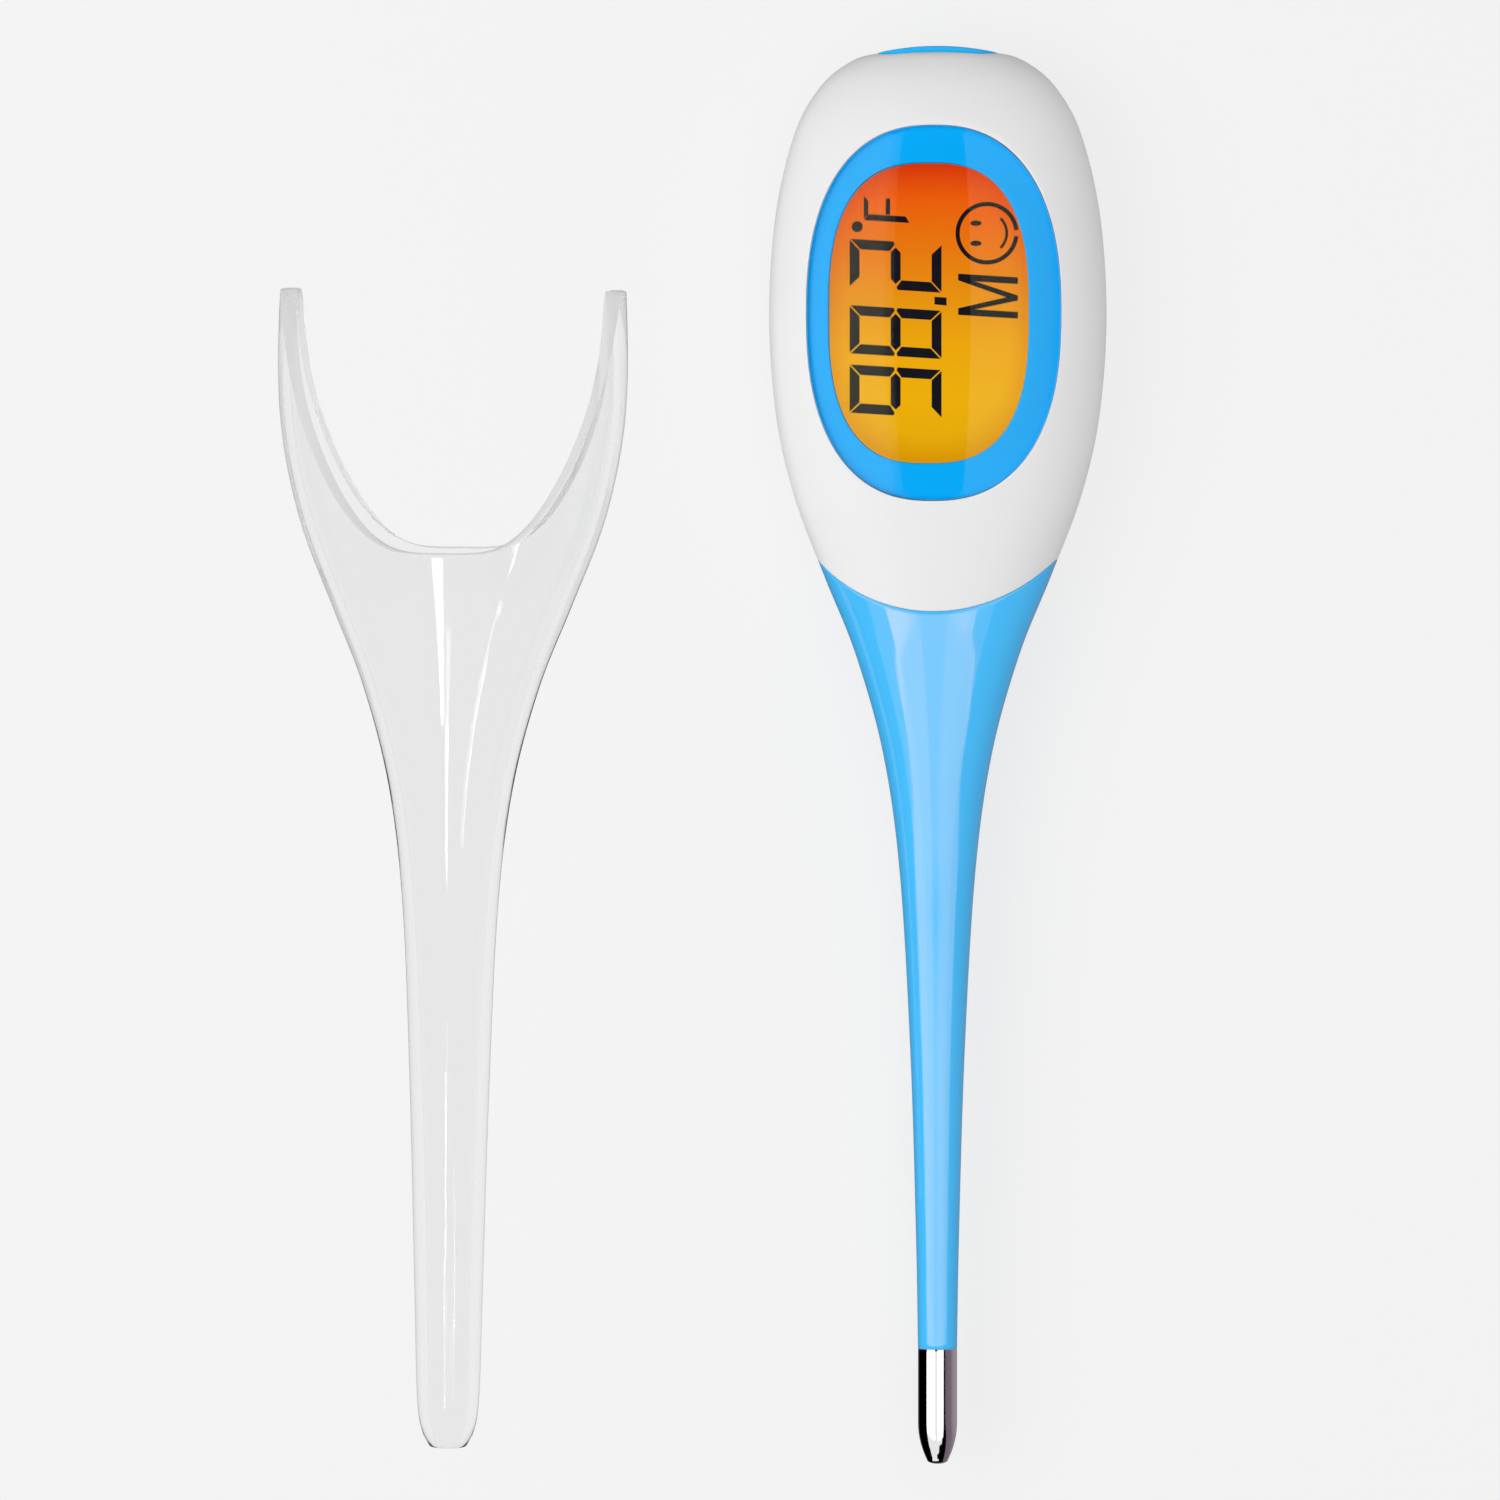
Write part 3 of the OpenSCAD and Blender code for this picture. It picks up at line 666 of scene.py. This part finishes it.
def cap():
    """The clear cap: a tube whose mouth is scooped out above and below between two side wings."""
    a = whole_turn(208)
    # the scoop's depth, and how steeply the wings rise from it
    scoop, rise, fullness = 27.5, 4.3, 2.3
    edge = np.minimum(WING_Y, SCOOP_Y + scoop * (np.abs(np.cos(a)) ** (2 / fullness)) ** rise)
    end = CAP[-1, 0]
    soft = 0.16

    def ring(y, inside):
        return cap_point(np.broadcast_to(y, a.shape).astype(float), a, inside)
    along = [mix(edge - soft, THROAT_Y, u) for u in np.linspace(0, 1, 20)]
    along += [mix(THROAT_Y, end + soft, u ** 0.85) for u in np.linspace(0, 1, 64)[1:]]
    outer = [ring(y, 0) for y in along]
    inner = [ring(y, 1) for y in along[::-1]]
    # (how far through the wall, how far out) round each of the two rims
    round_end = [ring(end + soft * (1 - s), i) for i, s in (
        (0.08, 0.7), (0.3, 1), (0.7, 1), (0.92, 0.7))]
    round_mouth = [ring(edge - soft * (1 - s), i) for i, s in (
        (0.95, 0.5), (0.8, 0.9), (0.5, 1), (0.2, 0.9), (0.05, 0.5))]
    points = np.asarray(outer + round_end + inner + round_mouth)
    # it lies on the belly below its scoop and on the end of its tube
    points = points + np.array([0, -SCOOP_Y, -CAP_BELLY])
    c, s = math.cos(math.radians(CAP_TILT)), math.sin(math.radians(CAP_TILT))
    points = points @ np.array([[1, 0, 0], [0, c, -s], [0, s, c]]).T
    c, s = math.cos(math.radians(CAP_TURN)), math.sin(math.radians(CAP_TURN))
    points = points @ np.array([[c, s, 0], [-s, c, 0], [0, 0, 1]]).T
    points = points + np.array([-CAP_GAP, SCOOP_Y + CAP_Y, 0])
    made = tube_solid("cap", points, 50)
    mouth = (len(outer) + len(round_end) + len(inner) - 1) * len(a)
    for face in made.data.polygons[mouth:]:
        face.material_index = 1
    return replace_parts(made, "protective_cap")


# ---------------------------------------- materials
def srgb(r, g, b):
    """A linear colour from 0-255 display values."""
    return tuple((v / 255 / 12.92) if v <= 10 else ((v / 255 + 0.055) / 1.055) ** 2.4
                 for v in (r, g, b)) + (1.0,)


class Nodes:
    """Short calls for the nodes of one tree."""

    def __init__(self, owner):
        owner.use_nodes = True
        self.tree = owner.node_tree

    def node(self, kind, inputs=(), **settings):
        made = self.tree.nodes.new(kind)
        for key, value in settings.items():
            setattr(made, key, value)
        for key, value in dict(inputs).items():
            if isinstance(value, bpy.types.NodeSocket):
                self.tree.links.new(value, made.inputs[key])
            else:
                made.inputs[key].default_value = value
        return made

    def ramp(self, source, *stops):
        made = self.node("ShaderNodeValToRGB", {"Fac": source})
        points = made.color_ramp.elements
        while len(points) < len(stops):
            points.new(0.5)
        for point, (position, colour) in zip(points, stops):
            point.position = position
            point.color = colour
        return made.outputs["Color"]

    def math(self, operation, first, second=0.0, third=0.0):
        inputs = {0: first, 1: second, 2: third}
        return self.node("ShaderNodeMath", inputs, operation=operation).outputs[0]

    def span(self, source, low, high, start=0.3, stop=0.7):
        return self.node("ShaderNodeMapRange", {
            "Value": source, "From Min": start, "From Max": stop,
            "To Min": low, "To Max": high}).outputs[0]


class Look(Nodes):
    """A material around one Principled shader, with short calls for what feeds it."""

    def __init__(self, name, **sockets):
        self.material = bpy.data.materials.new(name)
        super().__init__(self.material)
        self.shader = self.tree.nodes["Principled BSDF"]
        for key, value in sockets.items():
            self.shader.inputs[key.replace("_", " ")].default_value = value

    def feed(self, socket, source):
        self.tree.links.new(source, self.shader.inputs[socket])

    def place(self, stretch=(1, 1, 1)):
        """Object coordinates in metres, stretched for grain that runs one way."""
        coordinates = self.node("ShaderNodeTexCoord").outputs["Object"]
        return self.node("ShaderNodeMapping", {"Vector": coordinates, "Scale": stretch}).outputs[0]

    def noise(self, scale, detail=3, stretch=(1, 1, 1)):
        return self.node("ShaderNodeTexNoise", {
            "Vector": self.place(stretch), "Scale": scale,
            "Detail": detail, "Roughness": 0.55}).outputs["Fac"]

    def tints(self, source, start, darker, stop, colour):
        """A base colour that runs between two tints."""
        self.feed("Base Color", self.ramp(source, (start, (*darker, 1)), (stop, (*colour, 1))))

    def rough(self, source, low, high, *stops):
        self.feed("Roughness", self.span(source, low, high, *stops))

    def relief(self, *bump):
        self.feed("Normal", self.bump(*bump))

    def bump(self, height, distance, strength=1.0, under=None):
        inputs = {"Height": height, "Distance": distance, "Strength": strength}
        if under is not None:
            inputs["Normal"] = under
        return self.node("ShaderNodeBump", inputs).outputs[0]

    def lets_lamps_through(self, tint):
        """Lamps reach what is behind the glass, by a Transparent shader for their rays."""
        path = self.node("ShaderNodeLightPath").outputs["Is Shadow Ray"]
        clear = self.node("ShaderNodeBsdfTransparent", {"Color": tint}).outputs[0]
        both = self.node("ShaderNodeMixShader", {0: path, 1: self.shader.outputs[0], 2: clear})
        self.tree.links.new(both.outputs[0], self.tree.nodes["Material Output"].inputs["Surface"])


def moulded(name, colour, darker, rough, grain_scale, grain, **sockets):
    """Moulded plastic: slow flow tints, a fine grain and patches of handling shine."""
    look = Look(name, **sockets)
    look.tints(look.noise(45, 4), 0.3, darker, 0.7, colour)
    look.rough(look.noise(170, 5), rough * 0.85, rough * 1.15)
    fine = look.noise(grain_scale, 2)
    slow = look.bump(look.noise(90, 2), 0.00002, 0.35)
    look.relief(fine, grain, 1.0, slow)
    return look


def glass(name, tint, smear, ior, lamp_tint, **sockets):
    """Clear moulded plastic with faint flow lines and smears in its polish."""
    look = Look(name, Transmission_Weight=1.0, IOR=ior, Base_Color=tint, **sockets)
    look.rough(look.noise(120, 5, (1, 0.25, 1)), 0.0, smear)
    look.relief(look.noise(160, 2, (1, 0.12, 1)), 0.00001, 0.3)
    look.lets_lamps_through(lamp_tint)
    return look


def cap_mouth():
    """The cap's cut edge: the same plastic, frosted."""
    look = glass("cap_mouth", (0.95, 0.95, 0.95, 1), 0.5, 1.25, (0.97, 0.97, 0.97, 1))
    look.shader.inputs["Transmission Weight"].default_value = 0.45
    return look


def white_case():
    return moulded("white_case", (0.76, 0.76, 0.76), (0.74, 0.74, 0.745), 0.42, 5200, 0.000004,
                   Specular_IOR_Level=0.42)


def blue_gloss():
    return moulded("blue_gloss", (0.045, 0.336, 0.635), (0.04, 0.325, 0.615), 0.075, 2400, 0.0000006,
                   Specular_IOR_Level=0.5, Specular_Tint=(1, 0.5, 0.02, 1))


def blue_print():
    return moulded("blue_print", (0.0, 0.375, 0.86), (0.0, 0.365, 0.84), 0.5, 6000, 0.000002,
                   Specular_IOR_Level=0.03)


def blue_rubber():
    return moulded("blue_rubber", (0.02, 0.44, 0.88), (0.016, 0.42, 0.84), 0.5, 7000, 0.000006,
                   Specular_IOR_Level=0.08)


def steel_tip():
    look = Look("steel_tip", Metallic=1.0, Base_Color=(0.86, 0.85, 0.86, 1))
    turned = look.noise(900, 3, (0.05, 8, 0.05))
    look.rough(turned, 0.03, 0.09)
    look.relief(turned, 0.0000008, 0.4)
    return look


def lit_display():
    """The backlit panel: red-orange by the button, amber in the middle, yellow by the probe, with
    painted shade that darkens it towards its frame."""
    look = Look("lit_display", Roughness=0.28, Specular_IOR_Level=0.05,
                Base_Color=(0.012, 0.006, 0.001, 1), Emission_Strength=1.04)
    low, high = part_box("lcd_panel")
    place = look.node("ShaderNodeSeparateXYZ", {"Vector": look.place()}).outputs
    along = look.span(place["Y"], 0, 1, low.y, high.y)
    wobble = look.math("ADD", along, look.span(look.noise(70, 2), -0.012, 0.012))
    stops = ((0.03, srgb(222, 165, 0)), (0.22, srgb(233, 172, 0)), (0.40, srgb(232, 163, 4)),
             (0.53, srgb(226, 146, 8)), (0.70, srgb(227, 118, 6)), (0.86, srgb(230, 92, 2)),
             (0.98, srgb(222, 60, 3)))
    colour = look.ramp(wobble, *stops)
    half_w, half_l, fullness = DISPLAY
    across = look.math("ABSOLUTE", look.math("ADD", place["X"], -OPENING_X * MM))
    lengthwise = look.math("ABSOLUTE", place["Y"])
    out_x, out_y = (look.math("POWER", look.math("DIVIDE", away, half * MM), fullness)
                    for away, half in ((across, half_w), (lengthwise, half_l)))
    outward = look.math("ADD", out_x, out_y)
    # painted shade: the lit colour is multiplied darker towards the frame, as if the frame shaded the
    # backlight
    edge = look.ramp(outward, (0.55, (1, 1, 1, 1)), (1.0, (0.90, 0.74, 0.6, 1)))
    shade = look.node("ShaderNodeMix", data_type="RGBA", blend_type="MULTIPLY")
    shade.inputs["Factor"].default_value = 1.0
    look.tree.links.new(colour, shade.inputs["A"])
    look.tree.links.new(edge, shade.inputs["B"])
    look.feed("Emission Color", shade.outputs["Result"])
    look.rough(look.noise(9000, 1), 0.24, 0.34)
    return look


def display_ink():
    look = Look("display_ink", Specular_IOR_Level=0.1)
    look.tints(look.noise(900, 2), 0.35, (0.002, 0.002, 0.006), 0.7, (0.004, 0.004, 0.010))
    look.rough(look.noise(5000, 1), 0.3, 0.4)
    return look


def printed_grey():
    return moulded("printed_grey", (0.22, 0.23, 0.25), (0.18, 0.19, 0.2), 0.55, 9000, 0.000003)


def plain(name, colour, darker, rough, scale=1200, bump=0.000004, **sockets):
    """A small inner piece: two close tints in a fine mottle, and a matching bump."""
    look = Look(name, **sockets)
    mottle = look.noise(scale, 4)
    look.tints(mottle, 0.35, darker, 0.65, colour)
    look.rough(look.noise(scale / 4, 3), rough * 0.8, rough * 1.2)
    look.relief(mottle, bump)
    return look


def brushed(name, colour, darker, rough, stretch, **sockets):
    """Rolled or brushed metal, its lines along the short axis of stretch."""
    look = Look(name, Metallic=1.0, **sockets)
    lines = look.noise(1500, 4, stretch)
    look.tints(lines, 0.3, darker, 0.7, colour)
    look.rough(lines, rough * 0.75, rough * 1.25)
    look.relief(lines, 0.000003, 0.6)
    return look


def board_green():
    """Solder resist over copper tracks that run in bent rows."""
    look = Look("board_green", Coat_Weight=0.3, Specular_IOR_Level=0.5)
    tracks = look.node("ShaderNodeTexWave", {
        "Vector": look.place(), "Scale": 420, "Distortion": 5.5, "Detail": 1.2,
        "Detail Scale": 0.6}, bands_direction="DIAGONAL").outputs["Fac"]
    look.tints(tracks, 0.42, (0.006, 0.09, 0.03), 0.5, (0.02, 0.2, 0.07))
    look.rough(look.noise(700), 0.25, 0.4)
    look.relief(tracks, 0.00003, 0.5)
    return look


def striped_rubber():
    """Connector strip: conductive and insulating layers in turn."""
    look = Look("striped_rubber", Specular_IOR_Level=0.3)
    layers = look.node("ShaderNodeTexWave", {"Vector": look.place(), "Scale": 900},
                       bands_direction="X").outputs["Fac"]
    look.tints(layers, 0.42, (0.02, 0.02, 0.02), 0.5, (0.62, 0.22, 0.3))
    look.rough(look.noise(800), 0.5, 0.7)
    look.relief(layers, 0.00001, 0.4)
    return look


def dotted_acrylic():
    """Light guide: clear acrylic with a field of etched dots."""
    look = Look("dotted_acrylic", Transmission_Weight=0.6, IOR=1.49)
    dots = look.node("ShaderNodeTexVoronoi", {
        "Vector": look.place(), "Scale": 900, "Randomness": 0.15}).outputs["Distance"]
    look.tints(dots, 0.25, (0.95, 0.95, 0.92), 0.35, (0.75, 0.8, 0.82))
    look.rough(dots, 0.6, 0.1, 0.25, 0.35)
    look.relief(dots, 0.00001, 0.4)
    return look


def grey_foam():
    return plain("grey_foam", (0.16, 0.16, 0.17), (0.05, 0.05, 0.055), 0.9, 2600, 0.00008)


def finish_inner_nodes():
    """Every node that keeps its own mesh gets the finish of its real material."""
    white = plain("white_inner", (0.75, 0.75, 0.73), (0.68, 0.68, 0.66), 0.5)
    rubber = plain("black_rubber", (0.02, 0.02, 0.022), (0.01, 0.01, 0.011), 0.65, 3000, 0.00001)
    steel = brushed("cell_steel", (0.72, 0.71, 0.70), (0.55, 0.54, 0.53), 0.3, (6, 0.3, 1))
    bright = brushed("screw_steel", (0.6, 0.6, 0.62), (0.42, 0.42, 0.44), 0.32, (1, 1, 9))
    spring = brushed("contact_metal", (0.85, 0.62, 0.25), (0.7, 0.48, 0.18), 0.28, (0.4, 7, 1))
    can = brushed("switch_metal", (0.66, 0.66, 0.66), (0.5, 0.5, 0.5), 0.35, (5, 0.5, 1))
    brass = brushed("brass_disc", (0.78, 0.57, 0.22), (0.62, 0.43, 0.15), 0.3, (5, 5, 1))
    looks = {
        "lcd_frame": white,
        "backlight_diffuser": plain("diffuser_film", (0.86, 0.85, 0.8), (0.8, 0.79, 0.74), 0.7, 5000),
        "backlight_guide": dotted_acrylic(),
        "backlight_leds": plain("led_phosphor", (0.8, 0.68, 0.2), (0.72, 0.6, 0.18), 0.4, 3000,
                                Emission_Color=(1, 0.8, 0.3, 1), Emission_Strength=0.2),
        "zebra_strip": striped_rubber(), "circuit_board": board_green(), "board_screws": bright,
        "controller_chip": plain("chip_black", (0.028, 0.028, 0.03), (0.015, 0.015, 0.016), 0.55, 4000),
        "board_components": plain("chip_tan", (0.5, 0.34, 0.2), (0.4, 0.26, 0.15), 0.4, 2500),
        "piezo_disc": brass,
        "piezo_ceramic": plain("piezo_white", (0.78, 0.77, 0.74), (0.7, 0.69, 0.66), 0.35, 2200),
        "tact_switch": can, "switch_plunger": rubber, "button_seal": rubber, "battery_cell": steel,
        "positive_contact": spring, "negative_contact": spring, "cover_seal": rubber,
        "thermistor": plain("thermistor_bead", (0.03, 0.02, 0.02), (0.015, 0.01, 0.01), 0.25, 1800),
        "thermistor_leads": plain("wire_red", (0.5, 0.03, 0.02), (0.42, 0.02, 0.015), 0.38, 2000),
        "tip_filler": plain("epoxy", (0.62, 0.58, 0.46), (0.55, 0.5, 0.38), 0.3, 1500,
                            Transmission_Weight=0.2)}
    for name, look in looks.items():
        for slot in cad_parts[name].material_slots:
            slot.material = look.material


# ---------------------------------------- assembly
def dress(obj, look, body):
    obj.data.materials.append(look.material)
    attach(obj, body)
    return obj


def build():
    """Makes and dresses every piece, and returns those that have lamps of their own."""
    case, ink, grey = white_case(), display_ink(), printed_grey()
    dress(front_case(), case, "body")
    dress(rear_case(), case, "body")
    probe = dress(stem(), blue_gloss(), "body")
    metal = dress(tip(), steel_tip(), "body")
    pane = glass("clear_window", (1, 1, 1, 1), 0.02, 1.45, (1, 1, 1, 1),
                 Specular_Tint=(0.36, 0.35, 0.24, 1))
    lens = dress(window(), pane, "body")
    dress(border_ring(), blue_print(), "body")
    dress(gasket(), grey_foam(), "body")
    lower, upper, symbols = display()
    lit = lit_display()
    dress(lower, lit, "body")
    dress(upper, lit, "body")
    dress(symbols, ink, "body")
    dress(button(), blue_rubber(), "button")
    dress(battery_door(), case, "cover")
    lock, unlock, door = marks()
    dress(lock, grey, "body")
    dress(unlock, grey, "body")
    dress(door, grey, "cover")
    clear = glass("clear_cap", (0.95, 0.95, 0.95, 1), 0.03, 1.25, (0.97, 0.97, 0.97, 1))
    cover = dress(cap(), clear, "cap")
    cover.data.materials.append(cap_mouth().material)
    # lamps already reach what is behind the glass, so bounced light passes it too
    lens.visible_diffuse = lens.visible_glossy = cover.visible_diffuse = False
    finish_inner_nodes()
    return {"stem": probe, "tip": metal, "cap": cover}


# ---------------------------------------- studio
def camera():
    """Nearly straight down with a long lens, leaning a little to the thermometer's right."""
    low, high = CAD_BOX
    target = (low + high) / 2 + Vector((5.8, 0.5, -0.6)) * MM
    lean, distance, view_width = math.radians(5), 1.2, 0.150
    data = bpy.data.cameras.new("camera")
    data.sensor_width = 36
    data.lens = data.sensor_width * distance / view_width
    data.clip_start, data.clip_end = 0.01, 50
    made = linked("camera", data)
    made.location = target + Vector((math.sin(lean), 0, math.cos(lean))) * distance
    made.rotation_euler = (0, lean, 0)
    bpy.context.scene.camera = made


def lamp(name, centre, size, radiance, turn):
    """A flat lamp of even radiance, facing down until turned about Y."""
    data = bpy.data.lights.new(name, "AREA")
    data.shape = "RECTANGLE"
    data.size, data.size_y = size
    data.energy = radiance * PI * size[0] * size[1]
    made = linked(name, data)
    made.location = centre
    made.rotation_euler = (0, turn, 0)
    made.visible_camera = False
    return made


def softbox(name, x, y, z, radiance):
    """A lamp that faces down and fills x[0]..x[1] by y[0]..y[1] at height z."""
    centre = ((x[0] + x[1]) / 2, (y[0] + y[1]) / 2, z)
    return lamp(name, centre, (x[1] - x[0], y[1] - y[0]), radiance, 0)


def side_box(name, x, y, z, radiance):
    """A lamp that stands at x and faces the middle, y[0]..y[1] long and z[0]..z[1] high."""
    centre = (x, (y[0] + y[1]) / 2, (z[0] + z[1]) / 2)
    return lamp(name, centre, (z[1] - z[0], y[1] - y[0]), radiance, math.copysign(PI / 2, x))


def light_only(lamp, pieces):
    """The lamp lights these pieces and shows in no others."""
    group = bpy.data.collections.new(lamp.name + "_pieces")
    for lit in pieces:
        group.objects.link(lit)
    lamp.light_linking.receiver_collection = group
    return group


def lights(pieces):
    """Two soft ceilings with a dark gap over the head, and strips whose shine runs down the probe
    and the cap. Fills light without showing in mirrors."""
    height = 0.45
    stem_z, tip_z = height - 0.004, height - 0.008
    fill_y, tip_radiance = (-0.35, 0.25), 0.93
    for name, x, radiance in (("left_box", (-0.80, -0.096), 1.6), ("right_box", (0.031, 0.38), 1.1)):
        ceiling = softbox(name, x, fill_y, height, radiance)
        group = light_only(ceiling, [pieces["cap"]])
        group.collection_objects[0].light_linking.link_state = "EXCLUDE"
    fills = [softbox("fill_box", (-0.78, 0.20), (-0.50, 0.45), 0.6, 1.08),
             side_box("left_fill", -0.40, fill_y, (0.0, 0.20), 0.80),
             side_box("right_fill", 0.30, fill_y, (0.0, 0.16), 1.10)]
    stem_fill = side_box("stem_fill", 0.30, fill_y, (0.01, 0.30), 0.70)
    for fill in (*fills, stem_fill):
        fill.visible_glossy = fill.visible_transmission = False
    light_only(stem_fill, [pieces["stem"]])
    strips = {"neck_strip": ((-0.25, -0.185), (-0.33, -0.16, 0.02, 0.20), (7.0, 5.5, 4.2)),
              "middle_strip": ((-0.185, -0.165), (-0.44, -0.15, 0.15, 0.44), (6.5, 5.2, 4.0)),
              "low_strip": ((-0.165, -0.100), (-1.10, -0.30, 0.20, 0.75), (4.2, 3.4, 3.2))}
    for name, (y, edges, radiances) in strips.items():
        for i, radiance in enumerate(radiances):
            strip = softbox(f"{name}_{i}", edges[i:i + 2], y, stem_z, radiance)
            light_only(strip, [pieces["stem"]])
    for name, x, y in (("tip_strip", (-0.85, 0.31), (-0.44, -0.09)),
                       ("nose_strip", (-0.85, 0.14), (-0.58, -0.44)),
                       ("nose_end_strip", (-0.85, 0.0), (-0.72, -0.58)),
                       ("nose_point_strip", (-0.75, -0.11), (-0.95, -0.72))):
        light_only(softbox(name, x, y, tip_z, tip_radiance), [pieces["tip"]])
    for name, x, y, radiance in (("cap_streak", (-0.128, -0.106), (-0.27, -0.19), 32),
                                 ("cap_lower_streak", (-0.098, -0.076), (-0.19, -0.165), 32),
                                 ("cap_right_streak", (0.160, 0.178), (-0.27, -0.19), 24)):
        light_only(softbox(name, x, y, height, radiance), [pieces["cap"]])


def sheet(name, corners, look):
    """A flat piece of the stage, with four corners."""
    mesh = bpy.data.meshes.new(name)
    mesh.from_pydata(corners, [], [(0, 1, 2, 3)])
    mesh.materials.append(look.material)
    return linked(name, mesh)


def floor():
    """White paper, just under the back of the thermometer so that the two never share a plane."""
    size, low = 6.0, -0.00002
    look = Look("floor_paper", Specular_IOR_Level=0.0, Roughness=0.9,
                Base_Color=(0.13, 0.13, 0.13, 1), Emission_Color=(1, 1, 1, 1),
                Emission_Strength=0.755)
    look.relief(look.noise(900, 2), 0.00001, 0.1)
    made = sheet("floor", [(-size, -size, low), (size, -size, low), (size, size, low),
                           (-size, size, low)], look)
    made.visible_glossy = False


def black_card():
    """A card between the cap and the tip, which only mirrors see: it keeps the tip's left black."""
    x, y, z = -0.025, (-0.125, -0.09), (0.0, 0.0175)
    corners = [(x, y[0], z[0]), (x, y[1], z[0]), (x, y[1], z[1]), (x, y[0], z[1])]
    look = Look("black_felt", Base_Color=(0, 0, 0, 1), Specular_IOR_Level=0.0)
    made = sheet("black_card", corners, look)
    made.visible_camera = made.visible_diffuse = False
    made.visible_transmission = made.visible_shadow = False


def surroundings():
    """Pale where the camera or the glass looks past the floor, and dim as a light. Mirrors see black
    on the left, and a grey glow low on the right."""
    world = bpy.data.worlds.new("studio")
    bpy.context.scene.world = world
    nodes = Nodes(world)
    direction = nodes.node("ShaderNodeSeparateXYZ", {
        "Vector": nodes.node("ShaderNodeTexCoord").outputs["Generated"]}).outputs
    low_right = nodes.math("MULTIPLY_ADD", direction["Y"], 0.8,
                           nodes.math("SUBTRACT", direction["X"], direction["Z"]))
    glow = nodes.ramp(nodes.span(low_right, 0, 1, 0, 1.5),
                      (0.05, (0, 0, 0, 1)), (0.11, (0.17, 0.125, 0.165, 1)),
                      (0.6, (0.19, 0.15, 0.185, 1)), (0.9, (0.33, 0.29, 0.325, 1)))
    mirrored = nodes.node("ShaderNodeBackground", {"Color": glow}).outputs[0]
    path = nodes.node("ShaderNodeLightPath").outputs
    direct = nodes.math("MAXIMUM", path["Is Camera Ray"], path["Is Transmission Ray"])
    dim, bright = 0.08, 0.88
    strength = nodes.math("MULTIPLY_ADD", direct, bright - dim, dim)
    pale = nodes.node("ShaderNodeBackground", {
        "Color": (1, 1, 1, 1), "Strength": strength}).outputs[0]
    mirror_only = nodes.math("SUBTRACT", path["Is Glossy Ray"], direct)
    both = nodes.node("ShaderNodeMixShader", {0: mirror_only, 1: pale, 2: mirrored})
    nodes.tree.links.new(both.outputs[0], nodes.tree.nodes["World Output"].inputs["Surface"])
    bpy.context.scene.view_settings.view_transform = "Standard"


pieces = build()
camera()
lights(pieces)
floor()
black_card()
surroundings()
